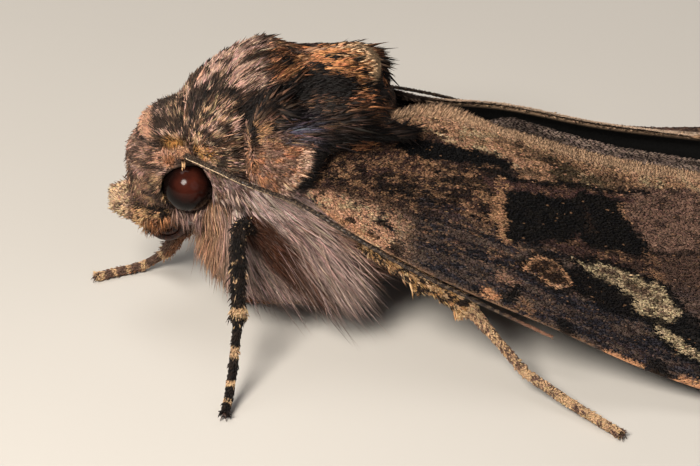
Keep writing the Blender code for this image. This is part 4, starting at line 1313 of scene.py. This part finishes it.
    # the black block, in two parts with a seam
    for name in ("wedge", "wedge2"):
        inside = ease(patchReach(mark(name), plane), -0.04, 0.03)
        lay("black", inside)
        lay("block", inside * ease(grain, 0.4, 0.6))
    seam = lineReach(mark("wedge")[[2, 3, 4]], plane)
    lay("spot", ease(np.abs(seam - 0.22), 0.14, 0.06) * ease(t, 0.74, 0.7) * ease(s, 0.69, 0.71) * 0.7)
    leftRim = lineReach(mark("leftRim") - (0.12, 0), plane)
    lay("fleck", ease(leftRim, 0.19, 0.1) * ease(grain, 0.28, 0.42))
    for name in ("shade", "shade2"):
        lay("black", ease(patchReach(mark(name), plane), -0.08, 0.1) * 0.95)
    # the small round mark, then the cream kidney mark and its tail
    smooth = wingPlane(s, t) + wobble * 0.08
    orb = patchReach(mark("orbicular"), smooth)
    lay("black", ease(np.abs(orb + 0.12), 0.14, 0.06) * 0.85)
    lay("spot", ease(orb, 0.0, 0.06))
    lay("fleck", ease(orb, 0.1, 0.16) * ease(grain, 0.58, 0.68) * 0.35)
    ring = ease(np.abs(orb - 0.03), 0.075, 0.04)
    lay("fleck", ring * ease(noise(plane, 0.3, 52), 0.2, 0.3), 1.15)
    lay("pinkBuff", ring * ease(t, 0.26, 0.24) * ease(s, 0.6, 0.62))
    for name in ("reniform", "band"):
        reach = patchReach(mark(name), plane)
        lay("black", ease(np.abs(reach + 0.1), 0.16, 0.08) * 0.95)
        inner = ease(reach, -0.02, 0.05)
        deep = ease(reach, 0.08, 0.17)
        lay("cream", inner)
        lay("outer", inner * deep * ease(grain, 0.5, 0.42) * 0.8)
        lay("olive", inner * (0.45 + 0.55 * deep) * ease(noise(fine, 0.11, 68), 0.54, 0.62) * 0.85)
        lay("ground", inner * deep * ease(streak, 0.54, 0.62) * 0.7)
    lay("edge", ease(t, 0.022, 0.012) * ease(grain, 0.4, 0.55) * 0.8)
    # orange and black along the front edge
    for at, spread, up in wingMarks["frontLine"]:
        onLine = ease(t, up * 1.2, up * 0.8) * ease(np.abs(s - at), spread, spread * 0.85)
        lay("orange", onLine * ease(grain, 0.25, 0.45) * 0.85)
    for at, up in wingMarks["frontDark"]:
        reach = ((s - at) / 0.016) ** 2 + ((t - up) / 0.045) ** 2
        lay("black", ease(reach, 1.4, 0.7) * 0.9)
    for name, share, outline in wingMarks["frontPatches"]:
        reach = patchReach(np.array(outline) * (wingShape["length"], wingShape["width"]), plane)
        lay(name, ease(reach, -0.06, 0.05) * ease(grain, 0.22, 0.42) * share)
    # the wavy line and the spots before the fringe
    wave = 0.935 + 0.008 * np.sin(t * 38) + 0.01 * np.sin(t * 17)
    lay("cream", ease(np.abs(s - wave), 0.01, 0.004) * 0.55)
    lunule = ease(s, 0.966, 0.974) * ease(np.cos(t * 2 * math.pi * 9), 0.1, 0.6)
    lay("black", lunule * 0.85)
    lay("edgeHair", ease(t, 0.93, 0.965) * ease(grain, 0.25, 0.45) * 0.6)
    return tint


def sheetFaces(rows, columns):
    # a thin closed sheet: its top, its underside and the edge between them
    count = (rows + 1) * (columns + 1)
    grid = np.arange(count).reshape(rows + 1, columns + 1)
    top = np.stack([grid[:-1, :-1], grid[1:, :-1], grid[1:, 1:], grid[:-1, 1:]], -1).reshape(-1, 4)
    loop = np.concatenate([grid[:, 0], grid[-1, 1:], grid[-2::-1, -1], grid[0, -2:0:-1]])
    following = np.roll(loop, -1)
    edge = np.stack([loop, loop + count, following + count, following], -1)
    return np.vstack([top, top[:, ::-1] + count, edge])


def wingSheet(name, sign, k, tintMaker, node):
    (s0, s1), (t0, t1) = k["span"], k["chord"]
    rows, columns = k["grid"]
    s = s0 + (s1 - s0) * np.linspace(0, 1, rows + 1)
    t = t0 + (t1 - t0) * np.linspace(0, 1, columns + 1)
    s, t = [g.ravel() for g in np.meshgrid(s, t, indexing="ij")]
    point, normal, _, _ = wingFrame(s, t)
    upper = point - normal * (k["depth"] + wingPleats(s, t))[:, None]
    rim = np.minimum(np.minimum(s - s0, s1 - s) * 60, np.minimum(t - t0, t1 - t) * 40)
    body = k["thick"] * (0.35 + 0.65 * ease(rim, 0, 1)) + 0.04 * ease(t, 0.05, 0.0) * (t0 < 0.01)
    verts = np.vstack([upper, upper - normal * body[:, None]]) * (sign, 1, 1)
    faces = sheetFaces(rows, columns)
    mesh = newMesh(name, toScene(verts), faces[:, ::sign])
    if sign > 0 and dot(faceNormals(verts, faces[:1]), normal[:1])[0, 0] < 0:
        mesh.flip_normals()
    under = np.repeat(wingPaint["under"][None], len(s), 0) * 0.8
    setTint(mesh, np.vstack([tintMaker(s, t), under]))
    addPiece(mesh, "wing", [node])


def turned(sign, root, normal, lie, **rest):
    # tufts given for the left side, turned over for the right
    flip = np.array([sign, 1, 1])
    return {"root": root * flip, "normal": normal * flip, "lie": lie * flip, **rest}


scaleLook = {"rowStep": 0.082, "columnStep": 0.039, "length": 0.19, "width": 0.058, "rise": 7, "vary": 0.26}


def wingScales(name, sign, seed):
    # overlapping rows of scales that point to the outer edge
    w, k = wingShape, scaleLook
    draw = np.random.default_rng(seed)
    rows = int(w["length"] / k["rowStep"])
    sList, tList = [], []
    for i in range(rows):
        at = 0.055 + 0.925 * (i + 0.5) / rows
        edge = along(w["front"], [at])[0] - along(w["inner"], [at])[0]
        count = int(np.linalg.norm(edge) / k["columnStep"])
        tList.append(0.006 + 0.994 * (np.arange(count) + draw.random(count)) / count)
        sList.append(at + draw.normal(0, 0.35, count) * k["rowStep"] / w["length"])
    s, t = np.clip(np.concatenate(sList), 0.05, 0.985), np.concatenate(tList)
    count = len(s)
    point, normal, out, inward = wingFrame(s, t)
    root = point - normal * (wingSheets["fore"]["depth"] + wingPleats(s, t))[:, None]
    calm = (ease(t, 0.0, 0.05) * ease(t, 0.985, 0.93 if sign > 0 else 0.78))[:, None]
    toEdge = 0.12 * (1 - calm) * np.where(t < 0.5, 1, -1)[:, None]
    aside = inward * (draw.normal(0, 0.12, (count, 1)) * calm + toEdge)
    lie = laidAlong(normal, out + aside, draw.normal(k["rise"], 4, count) * calm[:, 0], draw, 0.04)
    shown = wingTint(s + draw.normal(0, 0.002, count), t + draw.normal(0, 0.004, count))
    tint = vary(draw, shown, k["vary"])
    # the far wing's inner edge: darker towards the root, and further out paler than the near wing's, which is
    # painted light on that edge
    if sign < 0:
        tint = over(tint, wingPaint["dark"], ease(t, 0.8, 0.86) * ease(s, 0.48, 0.4))
        tint = over(tint, wingPaint["rim"] * 1.5, ease(t, 0.86, 0.91) * ease(s, 0.4, 0.48) * 0.9)
    pale = draw.random(count) < 0.012
    tint[pale] = tint[pale] * 0.5 + wingPaint["fleck"] * 0.5
    tufts = turned(sign, root, normal, lie, length=k["length"] * np.exp(draw.normal(0, 0.18, count)),
                   width=k["width"] * np.exp(draw.normal(0, 0.15, count)), shoulder=0.72, bend=0.05,
                   tint=tint * 0.75, tipTint=np.clip(tint * 1.15, 0, 0.9), place=stacked([s, t]))
    makeTufts(name, tufts, "wing", draw)


fringeLook = {"outer": 3600, "inner": 5200, "length": 0.6, "innerLength": {1: 0.42, -1: 0.15},
              "width": 0.034}


def wingFringe(name, sign, seed):
    # long narrow scales on the outer edge and a brush of hair on the inner one
    k = fringeLook
    draw = np.random.default_rng(seed)
    tOuter = draw.random(k["outer"])
    sOuter = 0.962 + draw.random(k["outer"]) * 0.012
    sInner = 0.22 + 0.75 * draw.random(k["inner"])
    tInner = 0.955 + draw.random(k["inner"]) * 0.04
    s, t = np.concatenate([sOuter, sInner]), np.concatenate([tOuter, tInner])
    outer = np.arange(len(s)) < k["outer"]
    point, normal, out, inward = wingFrame(s, t)
    root = point - normal * (wingSheets["fore"]["depth"] + 0.03)
    way = np.where(outer[:, None], out, inward * 0.75 + out * 0.6)
    rise = np.where(outer, draw.normal(0, 3, len(s)), draw.normal(11, 7, len(s)))
    lie = laidAlong(normal, way, rise, draw, 0.06)
    innerLength = k["innerLength"][sign] * (1 - 0.5 * ease(s, 0.42, 0.56) * (sign > 0))
    length = np.where(outer, k["length"], innerLength) * np.exp(draw.normal(0, 0.12, len(s)))
    tint = vary(draw, wingTint(np.minimum(s, 0.955), np.minimum(t, 0.99)), 0.2)
    # the far wing's inner fringe is paler than the near one's, painted light on that edge, and darker towards
    # the root
    paleHair, share = (wingPaint["rim"], 0.7) if sign < 0 else (wingPaint["edgeHair"], 0.55)
    tint[k["outer"]:] = over(tint[k["outer"]:], paleHair, np.full(k["inner"], share))
    if sign < 0:
        tint = over(tint, wingPaint["dark"], ease(s, 0.48, 0.4))
    check = ease(np.cos(tOuter * 2 * math.pi * 9), -0.2, 0.4)
    tint[:k["outer"]] = over(tint[:k["outer"]], wingPaint["edge"], 1 - 0.6 * check)
    tufts = turned(sign, root, normal, lie, length=length,
                   width=k["width"] * np.exp(draw.normal(0, 0.2, len(s))), shoulder=0.6, bend=0.03,
                   tint=tint * 0.8, tipTint=np.clip(tint * 1.3, 0, 0.9), place=stacked([s, t]))
    makeTufts(name, tufts, "wing", draw)


def underTint(s, t):
    plane = wingPlane(s, t)
    tint, lay = layers(wingPaint, "under", len(s))
    lay("dark", ease(noise(plane, (0.5, 0.3), 61), 0.4, 0.7) * 0.5)
    lay("dark", ease(np.abs(s - 0.72 - 0.02 * np.sin(t * 9)), 0.02, 0.008) * 0.5)
    return tint


underLook = {"count": 5000, "length": 0.36, "width": 0.17, "rise": 8}


def underScales(name, sign, seed, sheet):
    k = underLook
    count = k["count"]
    draw = np.random.default_rng(seed)
    (s0, s1), (t0, t1) = sheet["scaleSpan"], sheet["scaleChord"]
    s = s0 + (s1 - s0) * np.sqrt(draw.random(count))
    t = t0 + (t1 - t0) * draw.random(count)
    point, normal, out, _ = wingFrame(s, t)
    root = point - normal * (sheet["depth"] + sheet["thick"] - 0.01 + wingPleats(s, t))[:, None]
    lie = laidAlong(-normal, out, draw.normal(k["rise"], 4, count), draw, 0.08)
    tint = vary(draw, underTint(s, t), 0.15)
    tufts = turned(sign, root, -normal, lie, length=k["length"] * np.exp(draw.normal(0, 0.15, count)),
                   width=k["width"] * np.exp(draw.normal(0, 0.15, count)), shoulder=0.65, bend=0.04,
                   tint=tint * 0.85, tipTint=tint, place=stacked([s, t]))
    makeTufts(name, tufts, "wing", draw)


foldLook = {"span": (0.4, 0.985), "flat": {1: 0.98, -1: 0.06}, "thick": 0.05, "grid": (70, 24),
            "count": 2600, "length": 0.26, "width": 0.08}


def foldPath(s, sign):
    # the hindwing's hidden part: level beside the forewing's inner edge, then down to the abdomen
    def shift(x, z):
        return stacked([x + 0 * s, 0 * s, z + 0 * s])

    shown = ease(s, 0.46, 0.62)
    edge = wingPoint(s, np.full(len(s), 0.955)) - (0, 0, 0.3)
    lift = shift(0, 0.04 + 0.42 * shown if sign > 0 else 0.17)
    flat = np.minimum(foldLook["flat"][sign], edge[:, 0] - 0.12) * shown
    low = np.interp(edge[:, 1], (7, 11, 16, 19), (5.2, 3.9, 2.9, 2.3))
    brink = edge - shift(flat + 0.12, 0.02)
    foot = stacked([np.minimum(brink[:, 0], 0.5), edge[:, 1] - 0.2, low])
    return np.stack([edge, edge * 0.4 + brink * 0.6 + lift, brink + lift, brink - shift(0.06, 0.45), foot], 1)


def foldTint(s, f, sign):
    shade = noise(stacked([s * 17.5, f * 4]), (1.2, 0.25), 71)
    tint, lay = layers(wingPaint, "fold", len(s))
    lay("fold", ease(shade, 0.5, 0.7) * 0.7, 1.9)
    lay("dark", ease(shade, 0.45, 0.3) * 0.5)
    # on the far side the fold is painted pale: painted light along the far wing's inner edge
    if sign < 0:
        lay("edgeHair", np.full(len(s), 0.85), 1.3)
    # painted shade between the wings: the part that hangs down to the abdomen is black, over the hindwing's
    # own dark colour
    lay("black", ease(f, 0.46, 0.52), 0.6)
    return tint


def wingFold(name, sign, seed):
    k = foldLook
    count = k["count"]
    rows, columns = k["grid"]
    draw = np.random.default_rng(seed)
    s = k["span"][0] + (k["span"][1] - k["span"][0]) * np.linspace(0, 1, rows + 1)
    f = np.linspace(0, 1, columns + 1)
    upper = np.stack([along(path, f) for path in foldPath(s, sign)])
    lower = upper - np.array([0.02, 0, k["thick"]])
    lower[:, -8:, 0] -= 0.05
    verts = np.concatenate([upper.reshape(-1, 3), lower.reshape(-1, 3)]) * (sign, 1, 1)
    faces = sheetFaces(rows, columns)
    if faceNormals(verts, faces[:1])[0, 2] <= 0:
        faces = faces[:, ::-1]
    mesh = newMesh(name, toScene(verts), faces)
    tint = foldTint(*[g.ravel() for g in np.meshgrid(s, f, indexing="ij")], sign)
    setTint(mesh, np.vstack([tint, tint * 0.5]))
    addPiece(mesh, "wing")
    row = draw.integers(0, rows, count)
    column = draw.integers(0, int(columns * 0.46), count)
    here = upper[row, column]
    root = here + (upper[row + 1, column] - here) * draw.random((count, 1))
    out, inward = unit(upper[row + 1, column] - here), unit(upper[row, column + 1] - here)
    normal = unit(np.cross(out, inward))
    normal *= np.where(normal[:, 2:] - 0.3 * normal[:, :1] > 0, 1, -1)
    way = out + inward * draw.normal(0, 0.2, (count, 1))
    lie = laidAlong(normal, way, draw.normal(8, 4, count), draw, 0.05)
    tint = vary(draw, foldTint(s[row], f[column], sign), 0.16)
    tufts = turned(sign, root, normal, lie, length=np.full(count, k["length"]),
                   width=np.full(count, k["width"]), shoulder=0.6, bend=0.04, tint=tint * 0.8,
                   tipTint=tint * 1.1, place=stacked([s[row], f[column]]))
    makeTufts("coat_" + name, tufts, "wing", draw)


for side, sign in sides.items():
    fore, hind = wingSheets["fore"], wingSheets["hind"]
    wingSheet("wing_" + side, sign, fore, wingTint, "forewing_" + side)
    wingScales("coat_wing_" + side, sign, 21 + sign)
    wingFringe("coat_fringe_" + side, sign, 31 + sign)
    underScales("coat_under_" + side, sign, 41 + sign, fore)
    wingSheet("hindwing_sheet_" + side, sign, hind, underTint, "hindwing_" + side)
    underScales("coat_hindwing_" + side, sign, 51 + sign, hind)
    wingFold("fold_" + side, sign, 71 + sign)
print("wings done")


def ringFaces(rings, count):
    # triangles over rings of points, closed by a point at each end
    last = rings * count + 1
    faces = []
    for k in range(count):
        j = (k + 1) % count
        faces += [(0, 1 + j, 1 + k), (last, last - count + k, last - count + j)]
        for a in range(1, last - count, count):
            b = a + count
            faces += [(a + k, a + j, b + j), (a + k, b + j, b + k)]
    return np.array(faces)


def tube(points, radii, count, tint):
    # a round tube along points, closed at both ends
    ways = unit(np.gradient(points, axis=0))
    across = unit(np.cross(ways[0], (0.2, 0.1, 0.97)))
    turn = 2 * math.pi * np.arange(count)[:, None] / count
    rings = []
    for point, way, radius in zip(points, ways, radii):
        across = unit(across - way * (across @ way))
        other = np.cross(way, across)
        rings.append(point + (across * np.cos(turn) + other * np.sin(turn)) * radius)
    verts = np.vstack([points[:1], *rings, points[-1:]])
    return verts, ringFaces(len(points), count), np.vstack([tint[:1], np.repeat(tint, count, 0), tint[-1:]])


def joinTubes(name, tubes):
    verts, faces, tints = zip(*tubes)
    starts = np.cumsum([0] + [len(v) for v in verts])
    faces = [f + start for f, start in zip(faces, starts)]
    mesh = newMesh(name, toScene(np.vstack(verts)), np.vstack(faces))
    setTint(mesh, np.vstack(tints))
    return mesh


feelerLook = {
    "segments": 74, "radius": 0.094, "tipRadius": 0.046, "scape": 0.2, "pedicel": 0.13,
    "scales": 3200, "rootScales": 900, "hanging": 10, "dark": paint(34, 25, 21), "pale": paint(178, 150, 122),
    "pink": paint(158, 112, 88), "cream": paint(214, 172, 128), "line": paint(206, 180, 150), "onLine": 420,
    "highlightWay": (0.91, -0.41, -0.06),
}


def feelerThick(f):
    k = feelerLook
    thick = k["radius"] + (k["tipRadius"] - k["radius"]) * f
    thick = thick + (k["pedicel"] - k["radius"]) * ease(f, 0.075, 0.06) * ease(f, 0.036, 0.044)
    return thick + (k["scape"] - k["radius"]) * np.sin(math.pi * np.clip(f / 0.038, 0, 1)) ** 0.7


def feeler(side, sign):
    k = feelerLook
    f = np.linspace(0, 1, k["segments"] * 4 + 1)
    beat = (f * k["segments"]) % 1
    radii = feelerThick(f) * (1.0 + 0.1 * np.sin(beat * math.pi * 2))
    radii[-1] *= 0.4
    tint, lay = layers(k, "dark", len(f))
    lay("pale", ease(beat, 0.6, 0.8) * 0.25)
    lay("pink", ease(f, 0.93, 0.99) * 0.5 + ease(f, 0.075, 0.065) * 0.5)
    mesh = joinTubes("feeler_" + side, [tube(along(feelerRoute, f) * (sign, 1, 1), radii, 10, tint)])
    addPiece(mesh, "horn", ["antenna_" + side])
    draw = np.random.default_rng(61 + sign)
    count = k["scales"]
    at = np.concatenate([draw.random(count - k["rootScales"]), draw.random(k["rootScales"]) * 0.075])
    at[:k["onLine"]] = np.linspace(0.05, 0.55, k["onLine"])
    centre = along(feelerRoute, at)
    way = unit(along(feelerRoute, np.minimum(at + 0.01, 1)) - along(feelerRoute, np.maximum(at - 0.01, 0)))
    spoke = unit(np.cross(way, draw.normal(0, 1, (count, 3))))
    # the pale line along the feeler lies on one fixed side, toward the camera and below: partly pale scales,
    # partly a painted highlight
    onLine = (np.arange(count) < k["onLine"]) & (at > 0.095) & (at < 0.5)
    spoke[:, 2] = np.where(spoke[:, 2] < -0.5, -spoke[:, 2], spoke[:, 2])
    spoke[onLine] = k["highlightWay"]
    spoke = unit(spoke - way * dot(spoke, way))
    root = centre + spoke * feelerThick(at)[:, None] * 0.9
    rise = np.where(at < 0.07, draw.normal(24, 8, count), draw.normal(10, 4, count))
    lie = laidAlong(spoke, way, rise, draw, 0.06)
    ring = ((at * k["segments"]) % 1) > 0.7
    tint, lay = layers(k, "dark", count)
    tint[ring] = k["pale"] * 0.25
    tint *= np.exp(draw.normal(0, 0.25, (count, 1)))
    # the pale line: partly pale scales, partly a painted highlight
    lay("line", onLine * (0.95 - 0.6 * ease(at, 0.25, 0.5)))
    knob = ease(at, 0.075, 0.065)
    lay("pink", knob * 0.8 + ease(at, 0.9, 0.98) * 0.5)
    lay("cream", knob * (draw.random(count) < 0.22) * 0.7)
    lay("dark", knob * (draw.random(count) < 0.25) * 0.7)
    length = np.where(at < 0.07, 0.15, 0.11)
    hang = np.flatnonzero((at < 0.03) & (spoke[:, 2] > 0.2))[:k["hanging"]]  # the pale tuft before the eye
    root[hang] = np.array([1.6, -0.16, 6.8]) + draw.normal(0, 0.045, (len(hang), 3))
    spoke[hang] = (0.9, -0.1, 0.4)
    lie[hang] = unit(np.array([0.4, 0.06, -0.9]) + draw.normal(0, 0.12, (len(hang), 3)))
    length[hang] = 0.3
    tint[hang] = k["cream"]
    tufts = turned(sign, root, spoke, lie, length=length, shoulder=0.6, bend=0.1, tint=tint * 0.8,
                   width=np.where(onLine | (length > 0.25), 0.026, 0.036), tipTint=tint * 1.2,
                   place=stacked([0.1 + 0.8 * np.abs(spoke[:, 0]), at]))
    makeTufts("coat_feeler_" + side, tufts, "coat", draw, free=True)


for side, sign in sides.items():
    feeler(side, sign)

tongueLook = {"centre": (0.0, -0.62, 3.28), "radii": (0.03, 0.66), "turns": 2.9, "thick": 0.124,
              "tint": paint(40, 18, 12), "rim": paint(112, 60, 38)}


def tongue():
    k = tongueLook
    f = np.linspace(0, 1, 150)
    turn = 2 * math.pi * k["turns"] * f + math.pi / 2
    reach = k["radii"][1] - (k["radii"][1] - k["radii"][0]) * f
    points = stacked([0 * f, reach * np.cos(turn), reach * np.sin(turn)]) + k["centre"]
    radii = k["thick"] * (1 - 0.25 * f) * (1 + 0.05 * np.sin(f * 400))
    tint, lay = layers(k, "tint", len(f))
    lay("rim", ease(np.sin(f * 400), 0.2, 1) * 0.35)
    addPiece(joinTubes("tongue_coil", [tube(points, radii, 12, tint)]), "horn",
             ["proboscis"])


tongue()

clawLook = {"length": 0.24, "radius": 0.045, "spread": 0.5, "tint": paint(52, 34, 26)}
spurLook = {"hind": (0.4, 0.85), "mid": (0.95,), "length": {"hind": 0.66, "mid": 0.34}, "radius": 0.034,
            "tint": paint(200, 166, 126)}


def claws():
    tubes = []
    f = np.linspace(0, 1, 9)
    for joints in legJoints.values():
        tip, before = np.array(joints[-1]), np.array(joints[-2])
        way = unit(tip - before)
        across = unit(np.cross(way, (0, 0, 1)))
        for hand in (-1, 1):
            out = unit(way + across * hand * clawLook["spread"])
            start = tip - way * 0.12 + np.array([0, 0, -0.04])
            drop = (np.sin(f * math.pi) * 0.07 - f * 0.1)[:, None] * (0, 0, 1)
            points = start + out * (f * clawLook["length"])[:, None] + drop
            points[:, 2] = np.maximum(points[:, 2], 0.03)
            radii = clawLook["radius"] * (1 - 0.85 * f)
            tubes.append(tube(points, radii, 8, np.repeat(clawLook["tint"][None], 9, 0)))
    return joinTubes("claws", tubes)


def spurs():
    tubes = []
    f = np.linspace(0, 1, 8)
    for name, joints in legJoints.items():
        pair = name.split("_")[0]
        if pair == "fore":
            continue
        knee, ankle = np.array(joints[1]), np.array(joints[2])
        way = unit(ankle - knee)
        across = unit(np.cross(way, (0, 0, 1)))
        below = np.cross(across, way)
        below *= -np.sign(below[2])
        for place in spurLook[pair]:
            root = knee + (ankle - knee) * place - way * (0.12 if place > 0.9 else 0)
            for hand in (-1, 1):
                lean = unit(way * 0.62 + below * 0.45 + across * hand * 0.64)
                long = spurLook["length"][pair] * (1.0 if hand > 0 else 0.7)
                points = root + lean * (0.12 + f * long)[:, None] + way * (0.06 * f * f)[:, None]
                radii = spurLook["radius"] * (0.8 + 0.4 * np.sin(f * math.pi)) * (1 - 0.75 * f ** 3)
                tubes.append(tube(points, radii, 8, np.repeat(spurLook["tint"][None], 8, 0)))
    return joinTubes("leg_spurs", tubes)


addPiece(claws(), "horn")
addPiece(spurs(), "skin")
print("feelers, tongue, claws and spurs done")

# the eye's red glow is painted light: a fixed soft spot on the eye's upper outer side
eyeLook = {"deep": (0.0035, 0.0018, 0.0016, 1), "paintedGlow": (0.045, 0.01, 0.006, 1), "facet": 34, "bump": 0.05,
           "paintedGlowAt": (0.62, 0.02, 0.5), "paintedGlowReach": 0.75, "cloud": 2.4, "rings": 48, "around": 72}


def eyeMaterial():
    # a dark, bead-like eye with a painted soft red glow, a fixed spot on its lit upper outer side
    k = eyeLook
    material, tree, shader = newMaterial("eye_finish")
    place = addNode(tree, "TexCoord", {}).outputs["Object"]
    cells = addNode(tree, "TexVoronoi", {"Scale": k["facet"] / mm, "Vector": place})
    cloud = addNode(tree, "TexNoise", {"Scale": k["cloud"] / mm, "Vector": place})
    folded = addNode(tree, "VectorMath", {0: place}, "ABSOLUTE")
    paintedGlowAt = toScene(eyeMiddle + np.array(k["paintedGlowAt"]) * eyeRadius)
    reach = addNode(tree, "VectorMath", {0: folded.outputs["Vector"], 1: tuple(np.abs(paintedGlowAt))}, "DISTANCE")
    spread = addNode(tree, "MapRange", {"From Min": k["paintedGlowReach"] * mm, "From Max": 0,
                                        "Value": reach.outputs["Value"]})
    share = addNode(tree, "Math", {0: spread.outputs["Result"], 1: cloud.outputs["Fac"]}, "MULTIPLY")
    ramp = addRamp(tree, share.outputs["Value"], (0.02, k["deep"]), (0.5, k["paintedGlow"]))
    bump = addNode(tree, "Bump", {"Strength": k["bump"], "Distance": 0.01 * mm,
                                  "Height": cells.outputs["Distance"]})
    setInputs(tree, shader, {"Base Color": ramp, "Normal": bump.outputs["Normal"], "Roughness": 0.13,
                             "IOR": 1.2})
    return material


def eyes():
    materials["eye"] = eyeMaterial()
    rings, around = eyeLook["rings"], eyeLook["around"]
    polar = np.linspace(0, math.pi, rings + 1)[1:-1]
    turn = np.linspace(0, 2 * math.pi, around, endpoint=False)
    a, b = [g.ravel() for g in np.meshgrid(polar, turn, indexing="ij")]
    shell = stacked([np.cos(a), np.sin(a) * np.cos(b), np.sin(a) * np.sin(b)])
    verts = np.vstack([(1, 0, 0), shell, (-1, 0, 0)]) * eyeRadius + eyeMiddle
    faces = ringFaces(rings - 1, around)
    for side, sign in sides.items():
        mesh = newMesh("eye_lens_" + side, toScene(verts * (sign, 1, 1)), faces[:, ::-sign])
        addPiece(mesh, "eye", ["eye_" + side])


eyes()

cameraLook = {"from": (86, 33), "away": 200, "across": 700 / 30, "aim": (2.428, 5.327, 4.186)}


def aimed(name, data, at, k):
    # an object that looks at a point, from a direction and a distance
    a, e = np.radians(k["from"])
    back = np.array([math.sin(a) * math.cos(e), -math.cos(a) * math.cos(e), math.sin(e)])
    thing = bpy.data.objects.new(name, data)
    bpy.context.scene.collection.objects.link(thing)
    thing.location = Vector(toScene(np.array(at) + back * k["away"]))
    thing.rotation_mode = "QUATERNION"
    thing.rotation_quaternion = Vector(-back).to_track_quat("-Z", "Y")
    return thing


def makeCamera():
    k = cameraLook
    data = bpy.data.cameras.new("camera")
    data.sensor_width = 36
    data.lens = 36 * k["away"] / k["across"]
    data.clip_start = 0.01
    data.clip_end = 10
    bpy.context.scene.camera = aimed("camera", data, k["aim"], k)
    bpy.context.scene.view_settings.view_transform = "Standard"


lights = {  # the direction each comes from, its distance and size in mm, its power in watts
    "key": {"from": (56, 46), "away": 120, "size": 45, "power": 0.26, "tint": (1.0, 0.93, 0.84)},
    "fill": {"from": (120, 30), "away": 150, "size": 110, "power": 0.03, "tint": (0.95, 0.96, 1.0)},
    "top": {"from": (-40, 70), "away": 140, "size": 70, "power": 0.05, "tint": (1.0, 0.96, 0.92)},
}
roomLook = {"sky": (0.9, 0.9, 0.95, 1), "strength": 0.05, "lit": (0, 8, 4), "floor": (0.46, 0.44, 0.41, 1),
            "floorLight": (0.52, 0.5, 0.47, 1), "reach": 1.5}


def makeLights():
    for name, k in lights.items():
        data = bpy.data.lights.new(name, "AREA")
        data.shape = "DISK"
        data.size = k["size"] * mm
        data.energy = k["power"]
        data.color = k["tint"]
        aimed(name, data, roomLook["lit"], k)
    world = bpy.data.worlds.new("studio")
    world.use_nodes = True
    tree = world.node_tree
    setInputs(tree, tree.nodes["Background"], {"Color": roomLook["sky"], "Strength": roomLook["strength"]})
    bpy.context.scene.world = world


def makeFloor():
    material, tree, shader = newMaterial("floor_finish")
    place = addNode(tree, "TexCoord", {}).outputs["Object"]
    cloud = addNode(tree, "TexNoise", {"Scale": 40, "Vector": place}).outputs["Fac"]
    ramp = addRamp(tree, cloud, (0, roomLook["floor"]), (1, roomLook["floorLight"]))
    setInputs(tree, shader, {"Base Color": ramp, "Roughness": 0.7})
    reach = roomLook["reach"]
    corners = [(-reach, -reach, 0), (reach, -reach, 0), (reach, reach, 0), (-reach, reach, 0)]
    mesh = newMesh("floor", corners, [(0, 1, 2, 3)], False)
    mesh.materials.append(material)
    floor = bpy.data.objects.new("floor", mesh)
    bpy.context.scene.collection.objects.link(floor)


makeCamera()
makeLights()
makeFloor()
print("eyes, camera, lights and floor done")
